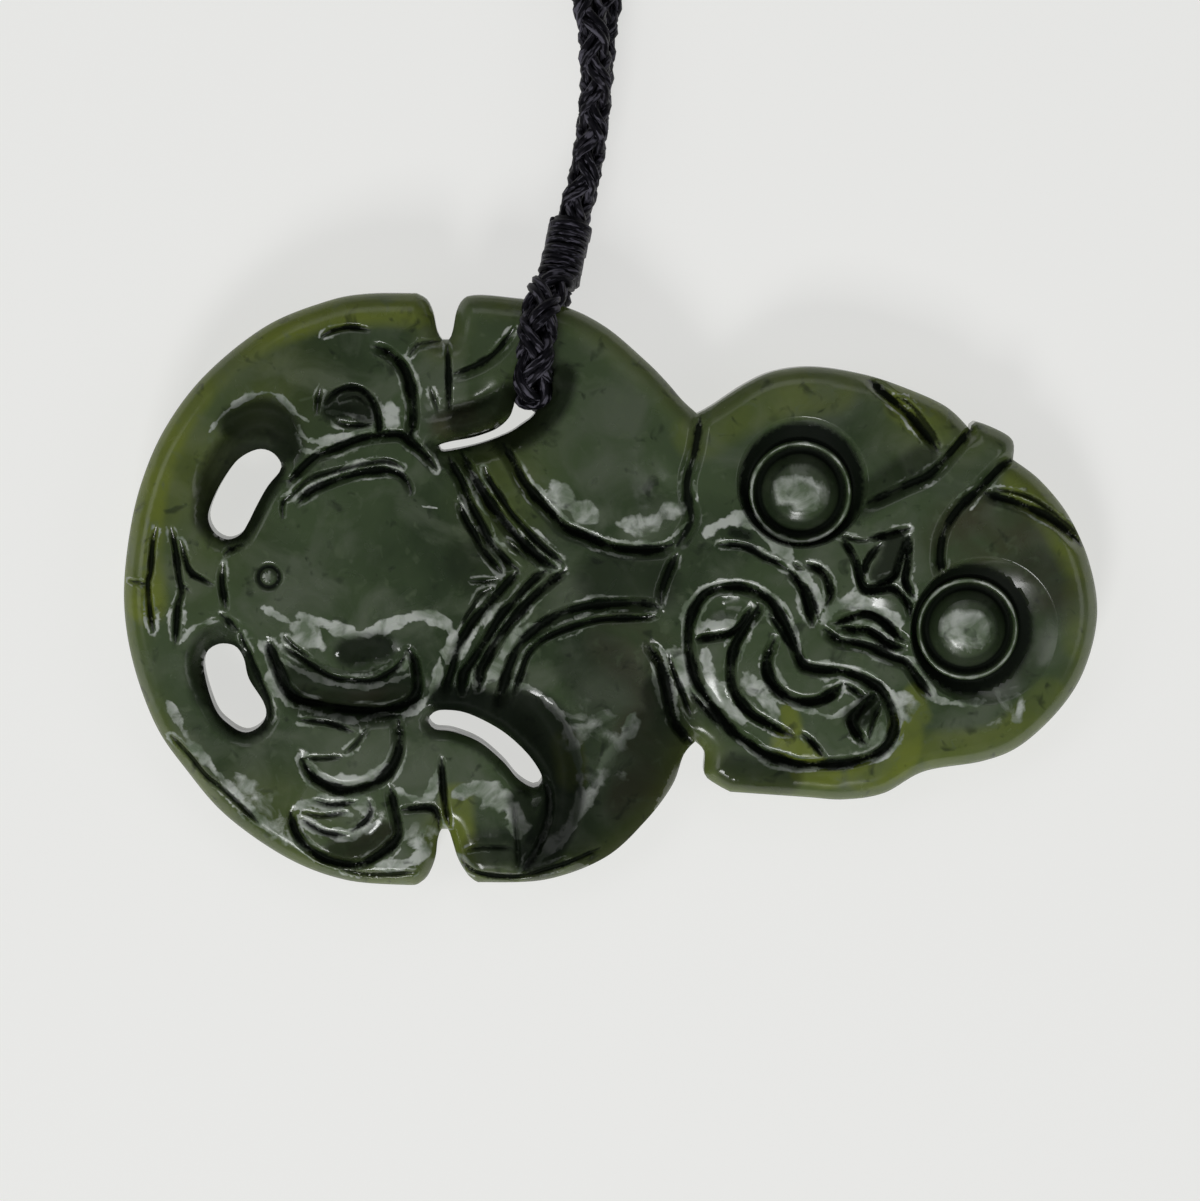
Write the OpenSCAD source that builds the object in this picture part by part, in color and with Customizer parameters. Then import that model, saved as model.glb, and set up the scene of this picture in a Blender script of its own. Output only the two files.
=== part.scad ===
// Hei tiki pendant: a carved greenstone figure hung on its side from a
// closed loop of black braided cord, laid flat on its back.
// All sizes in millimetres. +X runs along the figure from its feet to the
// crown of its head, +Y towards the neck loop and +Z up.

/* [Stone] */
// Length of the figure from its feet to the crown of its head
stone_length = 75; // [60:0.5:90]
// Width of the figure across its body
stone_width = 45.7; // [38:0.1:54]
// Thickness of the stone along its rim
rim_thickness = 4.6; // [3.5:0.1:6.5]
// Rise of the belly above the rim
body_rise = 1.5; // [0.5:0.1:3]
// Rise of the face above the rim
head_rise = 1.3; // [0.5:0.1:3]
// Width of the bevel round the front of the rim
bevel_width = 1.5; // [0.8:0.1:2.2]
// Depth of the bevel round the front of the rim
bevel_depth = 1.7; // [0.8:0.1:2.2]
// Width and height of the chamfer round the back
back_chamfer = 1.0; // [0.4:0.1:1.4]
// Depth of the carved lines against their drawn depth
carving = 1; // [0.6:0.05:1.3]

/* [Rest] */
// Tip of the stone, which lies on the cord behind its arm, in degrees
tip_angle = 4.15; // [3.8:0.05:5]
// Direction of the edge that it tips on, in degrees from +X
tip_heading = 14; // [0:1:30]

/* [Cord] */
// Diameter of the braided cord
cord_d = 2.7; // [2:0.1:3]
// Thickness that the wound thread adds to the cord
thread_d = 0.35; // [0.2:0.05:0.6]

/* [Hidden] */
// Rim of the figure, drawn for a length of 75 and a width of 45.7. Each run
// is a smooth curve, and two runs meet in a corner.
arm_rim = [[6.6, 13.5], [5.5, 14.5], [4.2, 16.0], [2.6, 17.6], [-0.5, 20.2], [-3.9, 21.8],
    [-8.5, 22.5], [-11.3, 22.5], [-12.2, 20.5], [-12.8, 19.1], [-13.4, 20.7], [-14.2, 22.6]];
leg_rim = [[-14.2, 22.6], [-15.8, 22.8], [-18.9, 22.7], [-22.0, 22.1], [-26.6, 20.2], [-31.2, 16.5],
    [-34.3, 12.4], [-36.2, 8.0], [-37.2, 3.4], [-37.5, -1.2], [-36.8, -5.8], [-35.1, -10.5],
    [-32.8, -13.9], [-29.7, -17.5], [-25.0, -20.8], [-20.5, -22.5], [-15.8, -22.9], [-14.2, -22.7]];
elbow_rim = [[-14.2, -22.7], [-13.2, -20.1], [-12.8, -18.7], [-12.0, -20.3], [-10.3, -22.7]];
lower_arm_rim = [[-10.3, -22.7], [-5.1, -22.5], [-0.5, -20.8], [2.6, -18.0], [4.7, -15.2],
    [5.6, -12.8], [6.5, -11.8]];
chin_rim = [[6.5, -11.8], [7.2, -12.6], [7.2, -14.3], [8.1, -15.1], [9.2, -15.7]];
head_rim = [[9.2, -15.7], [14.9, -16.1], [18.0, -16.3], [21.1, -15.8], [24.2, -14.1],
    [28.8, -13.3], [31.8, -12.0], [34.9, -9.0], [36.7, -5.8], [37.5, -1.8], [36.8, 2.2],
    [35.2, 5.7], [33.0, 8.4], [30.9, 10.0]];
crest_rim = [[30.9, 10.0], [30.9, 11.4], [29.9, 12.2], [28.0, 12.9], [27.6, 12.3]];
crown_rim = [[27.6, 12.3], [25.7, 14.1], [22.6, 15.5], [19.5, 16.5], [15.7, 17.1],
    [12.6, 16.8], [10.3, 15.8], [7.7, 14.1], [6.6, 13.5]];

// Openings pierced through the stone, each drawn clockwise
upper_leg_hole = [[-27.2, 10.8], [-26.1, 10.6], [-25.4, 9.8], [-25.5, 9.1], [-26.4, 8.0],
    [-27.2, 6.6], [-27.9, 5.2], [-28.5, 4.3], [-29.5, 3.9], [-30.5, 4.4], [-31.0, 5.5],
    [-30.7, 6.8], [-29.9, 8.4], [-28.7, 10.0]];
lower_leg_hole = [[-31.4, -6.3], [-31.2, -4.9], [-30.2, -4.2], [-29.0, -4.3], [-28.3, -5.2],
    [-27.9, -6.8], [-26.8, -8.6], [-26.6, -9.7], [-27.2, -10.6], [-28.2, -11.0],
    [-29.3, -10.5], [-30.5, -9.2]];
upper_slot = [[-13.4, 11.2], [-11.6, 11.9], [-9.8, 12.9], [-8.5, 14.3], [-7.8, 15.8],
    [-6.9, 16.8], [-5.3, 16.9], [-4.2, 15.8], [-4.4, 14.4], [-6.1, 13.2], [-7.8, 12.1],
    [-9.7, 11.2], [-11.6, 10.8], [-13.1, 10.7]];
lower_slot = [[-14.1, -10.0], [-13.7, -9.4], [-12.8, -9.2], [-11.0, -9.5], [-8.5, -10.8],
    [-6.6, -12.5], [-5.5, -14.1], [-5.4, -14.9], [-6.0, -15.3], [-7.2, -14.6],
    [-8.4, -13.2], [-10.2, -11.7], [-12.2, -10.9], [-13.6, -10.7]];

// Carved lines, each with its width, its depth and its route
rib_lines = [
    [0.9, 0.7, [[-12.3, 9.7], [-11.0, 7.1], [-8.8, 3.2], [-7.3, 1.8]]],
    [0.8, 0.6, [[-11.7, 6.8], [-10.0, 3.4], [-8.5, 1.5]]],
    [1.0, 0.8, [[-11.1, 9.8], [-8.6, 5.8], [-7.2, 4.1], [-4.5, 1.8]]],
    [0.7, 0.5, [[-9.5, 8.7], [-7.9, 6.3], [-5.8, 3.9], [-3.9, 2.4]]],
    [1.0, 0.8, [[-8.2, 10.6], [-5.6, 7.0], [-4.1, 5.2], [-2.0, 4.2], [0.5, 3.2], [3.8, 3.2]]],
    [0.9, 0.7, [[-7.8, 1.3], [-10.1, -1.6], [-12.0, -4.8], [-12.5, -7.0]]],
    [0.9, 0.6, [[-5.1, 1.1], [-8.5, -1.8], [-10.8, -5.5], [-11.5, -7.8]]],
    [1.0, 0.8, [[-3.9, 1.3], [-6.2, -0.6], [-9.4, -4.8], [-10.2, -7.4]]],
    [1.1, 0.8, [[3.4, -1.2], [-0.1, -1.1], [-3.2, -1.5], [-5.3, -2.4], [-7.4, -4.8], [-8.6, -8.5]]],
    [0.8, 0.5, [[3.4, -2.1], [-0.8, -2.2], [-4.5, -3.3], [-6.2, -4.7], [-7.0, -7.2]]],
];
belly_lines = [
    [0.9, 0.7, [[-24.7, 8.4], [-22.8, 10.3], [-20.5, 11.3], [-16.0, 11.8], [-14.7, 10.8], [-13.5, 9.5]]],
    [0.8, 0.6, [[-24.0, 6.8], [-22.5, 8.0], [-20.5, 8.8], [-17.4, 9.3], [-15.9, 8.8], [-15.4, 7.6]]],
    [0.7, 0.5, [[-25.1, -3.9], [-23.2, -5.8], [-20.1, -6.9], [-17.4, -6.6], [-15.9, -5.1]]],
    [0.7, 0.5, [[-29.9, 1.8], [-29.8, -1.2]]],
    [0.9, 0.6, [[-29.7, 2.8], [-28.5, 3.5]]],
];
upper_hand_lines = [
    [0.6, 0.4, [[-22.2, 19.5], [-20.1, 20.2], [-18.8, 20.0]]],
    [1.1, 0.8, [[-17.9, 18.6], [-16.2, 17.5], [-15.4, 15.7], [-15.3, 12.1]]],
    [0.7, 0.6, [[-21.9, 14.4], [-19.9, 15.6], [-18.8, 15.2], [-17.9, 13.7], [-17.9, 11.8]]],
    [0.7, 0.6, [[-12.5, 18.9], [-12.5, 13.9]]],
    [0.6, 0.4, [[-12.2, 16.6], [-9.4, 17.7], [-7.6, 19.9]]],
];
lower_hand_lines = [
    [1.1, 0.8, [[-16.4, -9.9], [-16.3, -12.0], [-17.2, -13.9], [-18.9, -15.2], [-21.2, -15.3], [-23.8, -12.8]]],
    [0.9, 0.7, [[-17.0, -15.3], [-16.5, -18.9], [-17.8, -20.3], [-20.1, -21.2], [-22.5, -20.6], [-24.7, -17.2]]],
    [0.7, 0.5, [[-22.8, -16.2], [-18.8, -16.5], [-18.7, -17.8], [-19.9, -18.5]]],
    [0.8, 0.6, [[-16.2, -16.8], [-13.9, -16.7], [-13.3, -18.4]]],
    [0.8, 0.7, [[-13.1, -12.9], [-12.9, -15.8], [-12.5, -18.4]]],
    [0.8, 0.6, [[-26.1, -3.9], [-25.2, -6.2], [-23.9, -8.3], [-20.8, -9.5], [-19.3, -10.7]]],
    [0.7, 0.5, [[-5.1, -14.8], [-4.8, -16.6], [-6.8, -21.7]]],
];
feet_lines = [
    [0.6, 0.5, [[-34.9, 4.8], [-35.6, 0.5], [-35.2, -3.0]]],
    [0.7, 0.6, [[-33.8, 4.8], [-33.0, -0.1], [-33.5, -3.9]]],
    [0.6, 0.5, [[-33.1, 3.8], [-32.4, 1.6], [-30.7, 0.5]]],
];
nose_lines = [
    [0.9, 0.7, [[13.8, 1.3], [14.8, -0.3], [15.5, -2.4]]],
    [0.8, 0.6, [[14.9, 1.8], [16.4, 0.8], [16.8, -0.8]]],
    [0.8, 0.6, [[17.1, 4.2], [18.5, 2.5], [19.2, 0.3], [21.7, -0.1], [22.9, -1.8]]],
    [0.9, 0.7, [[19.8, 4.1], [22.8, 4.7], [22.1, 2.2], [21.5, 0.5]]],
    [0.8, 0.6, [[20.7, 3.5], [19.6, 2.2], [19.2, 0.3]]],
    [0.9, 0.6, [[17.4, -2.5], [19.8, -1.7], [22.2, -3.3]]],
    [0.9, 0.7, [[16.2, -2.8], [18.0, -3.7], [21.2, -4.7], [23.2, -6.4], [24.4, -8.1]]],
];
crown_lines = [
    [0.9, 0.7, [[27.5, 12.2], [26.1, 10.7], [24.2, 8.8], [21.5, 7.6], [19.6, 6.8]]],
    [0.9, 0.7, [[30.7, 9.9], [28.2, 7.8], [26.1, 5.5], [25.2, 3.4], [25.4, 1.3]]],
    [1.0, 0.6, [[19.9, 16.0], [22.8, 13.5], [24.9, 10.9]]],
    [1.0, 0.6, [[28.8, 7.4], [32.6, 6.1], [36.2, 3.4]]],
];
lip_line = [[9.5, 0.2], [7.0, -0.5], [5.9, -2.4], [6.0, -4.7], [7.5, -7.8], [9.8, -11.0],
    [12.2, -12.8], [15.3, -13.4], [19.2, -13.2], [21.0, -12.2], [21.5, -10.1], [20.8, -8.0],
    [18.8, -6.5], [16.1, -6.1], [14.8, -6.0], [13.8, -3.3], [12.2, -1.0], [10.7, 0.1]];
mouth_lines = [
    [1.2, 0.9, [[11.2, -0.8], [10.7, -2.4], [9.4, -4.3], [9.2, -6.6], [10.3, -9.2], [13.4, -10.9]]],
    [1.0, 0.8, [[6.6, -3.7], [8.5, -3.5], [10.1, -2.5], [10.8, -1.0]]],
    [1.1, 0.9, [[12.5, -3.9], [12.0, -5.8], [13.2, -7.8], [14.9, -8.6], [16.7, -7.9], [17.7, -7.1]]],
    [1.3, 0.9, [[20.4, -7.8], [18.9, -9.7], [19.3, -11.8]]],
    [0.7, 0.5, [[14.8, -11.0], [16.6, -12.9]]],
];
// Broad hollows: round the leg holes, under the hand, beside the lower
// slot, down the neck and under the chin
broad_hollows = [
    [2.4, 1.1, [[-31.6, 6.1], [-31.2, 8.4], [-29.7, 10.5], [-27.8, 12.1], [-25.8, 12.2]]],
    [2.2, 1.0, [[-31.9, -8.5], [-32.2, -5.8], [-31.6, -3.9], [-29.7, -3.3], [-28.2, -3.9]]],
    [2.4, 1.0, [[-24.7, -7.8], [-22.4, -8.7], [-19.3, -9.1], [-15.1, -7.8]]],
    [2.6, 0.9, [[-7.0, -7.8], [-4.7, -9.7], [-3.3, -12.4], [-3.0, -15.5], [-3.9, -18.5], [-6.2, -21.0]]],
    [1.6, 0.8, [[6.8, 13.0], [6.2, 10.3], [5.6, 6.8], [5.2, 3.4], [4.1, 0.3], [3.8, -1.0]]],
    [1.8, 1.1, [[3.0, -4.3], [3.9, -6.6], [4.5, -8.9], [5.6, -11.1]]],
];
line_groups = [rib_lines, belly_lines, upper_hand_lines, lower_hand_lines, feet_lines,
    nose_lines, crown_lines, mouth_lines];

// Deep pits between the lines, each with its width, its depth and its ends
pits = [
    [1.0, 0.8, [-36.0, 0.6], [-35.7, 0.4]], [1.1, 0.8, [-32.9, 0.5], [-32.6, 0.1]],
    [1.0, 0.8, [-29.6, -2.2], [-28.9, -2.7]], [0.9, 0.7, [-28.5, -3.2], [-28.2, -4.2]],
    [0.9, 0.8, [-16.0, 19.2], [-15.4, 18.4]], [2.6, 0.9, [-19.8, -5.1], [-17.6, -4.9]],
    [1.2, 0.8, [-20.6, -19.9], [-18.4, -19.4]], [0.9, 0.8, [13.9, 3.0], [14.2, 2.1]],
    [1.6, 0.9, [7.6, -2.2], [9.8, -1.2]], [1.4, 0.9, [18.9, -8.3], [20.0, -9.8]],
];

// Each eye: its centre, then the centre and radius of the socket round it
eyes = [[[14.5, 7.5], [14.6, 8.3], 5.0], [[27.4, -3.0], [28.3, -3.1], 5.6]];
// Depth of the eye's section under the face, from its centre outwards
eye_section = [[0, -0.1], [1.2, -0.25], [2.1, -0.65], [2.6, -1.1], [2.9, -1.4], [3.5, -1.1],
    [3.8, -0.75], [4.1, -1.1]];
socket_depth = 1.5;
navel = [-26.5, 1.2];

// Bowed front of the stone: one low dome over the belly, one over the face
belly_centre = [-14.5, 0];
belly_reach = 22.5;
face_centre = [22, 0.5];
face_reach = 16;
grid_step = 3.2;
scale_x = stone_length / 75;
scale_y = stone_width / 45.7;
function bowl(p, c, reach) = max(0, 1 - pow((p.x - c.x) / reach, 2) - pow((p.y - c.y) / reach, 2));
function front_z(p) = rim_thickness
    + max(body_rise * bowl(p, belly_centre, belly_reach), head_rise * bowl(p, face_centre, face_reach));

// A curve through hand-placed points, cut into steps of about the given size
function at_end(a, i) = a[max(0, min(len(a) - 1, i))];
function curve_at(a, i, t) = let (p = at_end(a, i - 1), q = a[i], r = a[i + 1], s = at_end(a, i + 2))
    0.5 * (2 * q + (r - p) * t + (2 * p - 5 * q + 4 * r - s) * t * t + (3 * q - p - 3 * r + s) * t * t * t);
function smooth(a, step) = [for (i = [0 : len(a) - 2])
    let (n = max(1, round(norm(a[i + 1] - a[i]) / step))) for (k = [0 : n - 1]) curve_at(a, i, k / n)];
rim = [for (run = [arm_rim, leg_rim, elbow_rim, lower_arm_rim, chin_rim, head_rim, crest_rim, crown_rim])
    each smooth(run, 2.8)];
function unit(v) = v / norm(v);

// Direction of a plan route at point i, and the direction to its left
function heading(a, i, loop) = let (n = len(a))
    unit(loop ? a[(i + 1) % n] - a[(i + n - 1) % n] : at_end(a, i + 1) - at_end(a, i - 1));
function leftwards(t) = [-t.y, t.x];
// The rim moved inwards by a distance, as a ring at height z
function rim_ring(inset, z) = [for (i = [0 : len(rim) - 1])
    let (p = rim[i] + inset * leftwards(heading(rim, i, true))) [p.x, p.y, z]];

// The stone lies tipped, with its lowest edge on the surface and the middle
// of its box over the origin
function turned(p, a) = [p.x * cos(a) - p.y * sin(a), p.x * sin(a) + p.y * cos(a), p.z];
function tipped(p) = turned(let (q = turned(p, -tip_heading))
    [q.x, q.y * cos(tip_angle) - q.z * sin(tip_angle), q.y * sin(tip_angle) + q.z * cos(tip_angle)], tip_heading);
edge_points = [for (p = [each rim_ring(back_chamfer, 0), each rim_ring(0, back_chamfer),
    each rim_ring(0, rim_thickness - bevel_depth)]) tipped([p.x * scale_x, p.y * scale_y, p.z])];
function span(a, k) = [min([for (p = a) p[k]]), max([for (p = a) p[k]])];
rest_shift = [-(span(edge_points, 0)[0] + span(edge_points, 0)[1]) / 2,
    -(span(edge_points, 1)[0] + span(edge_points, 1)[1]) / 2, -span(edge_points, 2)[0]];

// Two legs of the cord run stacked through the whipping
cord_r = cord_d / 2;
whip_start = [-4.1, 23.7, 4.1];
whip_end = [-3.1, 28.1, 3.1];
whip_axis = unit(whip_end - whip_start);
whip_up = unit([0, 0, 1] - whip_axis.z * whip_axis);
front_leg = whip_up * cord_r;
rear_leg = -whip_up * cord_r;

// Cord route round the arm: over its front, down through the slot, back
// along the surface and up behind the rim
bail_route = [
    whip_start + front_leg, [-4.3, 23.6, 5.9], [-4.6, 23.2, 6.7], [-5.0, 22.6, 7.6],
    [-5.3, 21.7, 8.5], [-5.5, 20.5, 9.1], [-5.7, 19.1, 9.3], [-5.8, 17.8, 9.2], [-5.9, 16.6, 8.8],
    [-6.0, 15.6, 7.9], [-6.0, 15.2, 6.7], [-6.0, 15.1, 5.4], [-6.0, 15.1, 4.1], [-6.0, 15.2, 2.7],
    [-5.95, 15.9, 1.5], [-5.85, 17.2, 1.35], [-5.6, 19.6, 1.36], [-5.2, 21.2, 1.5],
    [-4.8, 22.2, 1.95], [-4.5, 22.8, 2.45], whip_start + rear_leg,
];

// Neck loop: the rear leg leaves the whipping to the right and the front
// leg to the left, and both lie on the surface further out
neck_route = [
    whip_end + rear_leg, [-2.4, 30.3, 1.4], [-1.7, 34.0, 1.4], [-1.1, 39.0, 1.4],
    [-0.4, 45.3, 1.4], [1.6, 52, 1.4], [5, 61, 1.4], [11, 75, 1.4], [20, 91, 1.4], [32, 108, 1.4],
    [45, 126, 1.4], [57, 145, 1.4], [66, 166, 1.4], [71, 188, 1.4], [72, 211, 1.4],
    [67, 234, 1.4], [55, 255, 1.4], [38, 270, 1.4], [17, 279, 1.4], [-5, 282, 1.4],
    [-27, 279, 1.4], [-48, 270, 1.4], [-65, 255, 1.4], [-77, 234, 1.4], [-82, 211, 1.4],
    [-81, 188, 1.4], [-76, 166, 1.4], [-67, 145, 1.4], [-55, 126, 1.4], [-42, 108, 1.4],
    [-30, 91, 1.4], [-20, 75, 1.4], [-11.5, 61, 1.4], [-4.8, 52.5, 2.0], [-1.8, 45.3, 3.7],
    [-1.2, 39.0, 4.1], [-1.65, 34.0, 4.13], [-2.3, 30.9, 4.2], whip_end + front_leg,
];

stone_colour = [0.20, 0.27, 0.19];
cord_colour = [0.09, 0.09, 0.10];
whipping_colour = [0.06, 0.06, 0.07];

// Closed skin over rings that have the same number of points
module skin(rings, loop = false) {
    n = len(rings);
    m = len(rings[0]);
    polyhedron([for (ring = rings) each ring], [
        for (i = [0 : n - (loop ? 1 : 2)], k = [0 : m - 1])
            let (a = i * m + k, b = i * m + (k + 1) % m, c = ((i + 1) % n) * m + k,
                d = ((i + 1) % n) * m + (k + 1) % m)
            each [[a, c, d], [a, d, b]],
        if (!loop) [for (k = [0 : m - 1]) k],
        if (!loop) [for (k = [m - 1 : -1 : 0]) (n - 1) * m + k],
    ]);
}

// Cutter of a carved line. Its section is given as shares of its width, to
// the left, and of its depth, downwards; an open line runs out at its ends.
vee = [[-0.75, -0.5], [0, 1], [0.75, -0.5]];
trough = [[-0.75, -0.5], [-0.3, 0.75], [0, 1], [0.3, 0.75], [0.75, -0.5]];
module carved_line(width, depth, route, section = vee, loop = false) {
    cut = max(depth * carving, 0.2);
    n = len(route);
    function ring(p, t, share) = [for (s = section) let (q = p + s.x * width * leftwards(t))
        [q.x, q.y, front_z(p) - cut * (s.y > 0 ? s.y * share : s.y)]];
    skin([
        if (!loop) let (t = heading(route, 0, false)) ring(route[0] - 0.6 * width * t, t, -0.15),
        for (i = [0 : n - 1]) ring(route[i], heading(route, i, loop), 1),
        if (!loop) let (t = heading(route, n - 1, false)) ring(route[n - 1] + 0.6 * width * t, t, -0.15),
    ], loop);
}

// The stone without its carving: a chamfer, an upright wall and a bevel
module blank() {
    over = 0.15;
    intersection() {
        bowed_block();
        skin([
            rim_ring(back_chamfer, 0), rim_ring(0, back_chamfer), rim_ring(0, rim_thickness - bevel_depth),
            rim_ring((1 + over) * bevel_width, rim_thickness + over * bevel_depth),
            rim_ring((1 + over) * bevel_width, rim_thickness + 4),
        ]);
    }
}

module pit(width, depth, from, to) {
    hull() for (p = [from, to]) translate([p.x, p.y, front_z(p) - depth * carving])
        cylinder(h = 1.4 * depth * carving, r1 = 0.2 * width, r2 = 0.6 * width, $fn = 10);
}

// Block under the bowed front, on a square grid of points
module bowed_block() {
    nx = ceil(82 / grid_step);
    ny = ceil(54 / grid_step);
    plan = [for (j = [0 : ny], i = [0 : nx]) [(i - nx / 2) * grid_step, (j - ny / 2) * grid_step]];
    top = [for (p = plan) [p.x, p.y, front_z(p)]];
    base = [for (p = plan) [p.x, p.y, -2]];
    n = len(plan);
    w = nx + 1;
    around = [each [for (i = [0 : nx - 1]) i], each [for (j = [0 : ny - 1]) j * w + nx],
        each [for (i = [nx : -1 : 1]) ny * w + i], each [for (j = [ny : -1 : 1]) j * w]];
    polyhedron([each top, each base], [
        each [for (j = [0 : ny - 1], i = [0 : nx - 1]) let (a = j * w + i)
            each [[a, a + w, a + w + 1], [a, a + w + 1, a + 1]]],
        each [for (k = [0 : len(around) - 1]) let (a = around[k], b = around[(k + 1) % len(around)])
            each [[a, b, n + b], [a, n + b, n + a]]],
        [for (a = around) n + a],
    ]);
}

// Opening through the stone, its front edge eased by a bevel
module piercing(shape, width, depth) {
    function ring(out, base, rise) = [for (i = [0 : len(shape) - 1])
        let (p = shape[i] + out * leftwards(heading(shape, i, true))) [p.x, p.y, base + rise * front_z(shape[i])]];
    skin([ring(1.5 * width, rim_thickness + 4, 0), ring(1.5 * width, 0.5 * depth, 1),
        ring(0, -depth, 1), ring(0, -1, 0)]);
}

module eye_socket(eye) {
    z = front_z(eye[0]);
    hull() {
        translate([eye[0].x, eye[0].y, z - socket_depth]) cylinder(h = 0.1, r = 3.9, $fn = 28);
        translate([eye[1].x, eye[1].y, z + 0.1]) cylinder(h = 1, r1 = eye[2], r2 = eye[2] + 0.5, $fn = 28);
    }
}

module eyeball(eye) {
    translate([eye[0].x, eye[0].y, front_z(eye[0])])
        rotate_extrude($fn = 28) polygon([[0, -2.5], each eye_section, [4.1, -2.5]]);
}

// The figure on its back, with its back face at z = 0
module figure() {
    difference() {
        blank();
        piercing(upper_leg_hole, 0.8, 1.0);
        piercing(lower_leg_hole, 0.8, 1.0);
        piercing(upper_slot, 1.1, 1.4);
        piercing(lower_slot, 0.7, 1.0);
        for (group = line_groups, line = group) carved_line(line[0], line[1], line[2]);
        for (line = broad_hollows) carved_line(line[0], line[1], line[2], trough);
        carved_line(1.0, 0.8, lip_line, vee, true);
        for (q = pits) pit(q[0], q[1], q[2], q[3]);
        for (eye = eyes) eye_socket(eye);
        translate([navel.x, navel.y, front_z(navel) - 0.4]) difference() {
            cylinder(h = 2, r = 1.1, $fn = 16);
            translate([0, 0, -1]) cylinder(h = 4, r = 0.55, $fn = 16);
        }
    }
    for (eye = eyes) eyeball(eye);
}

module tiki_stone() {
    color(stone_colour) translate(rest_shift)
        rotate([0, 0, tip_heading]) rotate([tip_angle, 0, 0]) rotate([0, 0, -tip_heading])
            scale([scale_x, scale_y, 1]) figure();
}

// Tube along a route, with an 8-sided section and square-cut ends
module tube(route, across, first, last) {
    n = len(route);
    function along(i) = i == 0 ? first : i == n - 1 ? last : unit(route[i + 1] - route[i - 1]);
    skin([for (i = [0 : n - 1]) let (t = along(i), u = unit(across - (across * t) * t), v = cross(t, u))
        [for (k = [0 : 7]) route[i] + cord_r * (cos(45 * k + 22.5) * u + sin(45 * k + 22.5) * v)]]);
}

module bail_loop() {
    color(cord_colour) tube(bail_route, [1, 0, 0], -whip_axis, whip_axis);
}

// Wound binding round the two stacked legs
module whipping() {
    color(whipping_colour) translate(whip_start)
        multmatrix([for (r = [0 : 2]) [cross(whip_up, whip_axis)[r], whip_up[r], whip_axis[r], 0]])
            linear_extrude(norm(whip_end - whip_start)) {
                for (s = [-1, 1]) translate([0, s * cord_r]) circle(r = cord_r + thread_d, $fn = 24);
                square([2 * (cord_r + thread_d), cord_d], center = true);
            }
}

module neck_cord() {
    route = [each smooth(neck_route, 11), neck_route[len(neck_route) - 1]];
    color(cord_colour) tube(route, [0, 0, 1], whip_axis, -whip_axis);
}

tiki_stone();
bail_loop();
whipping();
neck_cord();
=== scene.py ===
"""Looks of a hei tiki pendant, a carved greenstone figure on a braided black cord, laid on a pale surface.

Lengths are in metres, except in the carving, which is drawn in millimetres in the figure's own frame.
"""
import math

import bpy
import numpy as np
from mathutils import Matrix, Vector, geometry


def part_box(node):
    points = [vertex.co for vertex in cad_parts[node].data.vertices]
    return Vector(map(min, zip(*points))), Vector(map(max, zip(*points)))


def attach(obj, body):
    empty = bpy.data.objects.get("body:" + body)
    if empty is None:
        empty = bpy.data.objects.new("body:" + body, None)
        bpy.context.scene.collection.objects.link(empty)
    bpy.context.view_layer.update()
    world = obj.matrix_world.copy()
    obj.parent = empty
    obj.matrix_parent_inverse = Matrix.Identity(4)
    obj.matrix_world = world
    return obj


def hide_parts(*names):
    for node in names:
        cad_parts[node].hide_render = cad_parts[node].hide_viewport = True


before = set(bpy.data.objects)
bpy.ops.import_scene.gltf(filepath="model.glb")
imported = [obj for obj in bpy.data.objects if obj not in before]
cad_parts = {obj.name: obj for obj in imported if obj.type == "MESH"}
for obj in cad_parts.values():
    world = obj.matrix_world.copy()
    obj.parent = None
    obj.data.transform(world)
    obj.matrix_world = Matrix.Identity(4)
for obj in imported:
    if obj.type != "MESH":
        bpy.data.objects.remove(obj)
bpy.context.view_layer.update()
MM = 0.001

# camera
# The photograph looks straight down through a long lens. Its frame is 92.3 mm wide on the stone's face.
PHOTO_WIDTH = 92.3 * MM
PHOTO_CENTRE = Vector((-0.85 * MM, -0.88 * MM, 6 * MM))
CAMERA_DISTANCE = 0.45
SENSOR_WIDTH = 36


def make_camera():
    data = bpy.data.cameras.new("camera")
    data.sensor_width = SENSOR_WIDTH
    data.lens = SENSOR_WIDTH * CAMERA_DISTANCE / PHOTO_WIDTH
    camera = bpy.data.objects.new("camera", data)
    camera.location = PHOTO_CENTRE + Vector((0, 0, CAMERA_DISTANCE))
    bpy.context.collection.objects.link(camera)
    bpy.context.scene.camera = camera
    bpy.context.scene.view_settings.view_transform = "Standard"


make_camera()

# cord
CORD_RADIUS = 1.35 * MM
WHIP_START = Vector((-0.0041, 0.0237, 0.0041))
WHIP_END = Vector((-0.0031, 0.0281, 0.0031))
WHIP_AXIS = (WHIP_END - WHIP_START).normalized()
WHIP_UP = (Vector((0, 0, 1)) - WHIP_AXIS.z * WHIP_AXIS).normalized()
FRONT_LEG = CORD_RADIUS * WHIP_UP
REAR_LEG = -CORD_RADIUS * WHIP_UP
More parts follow.
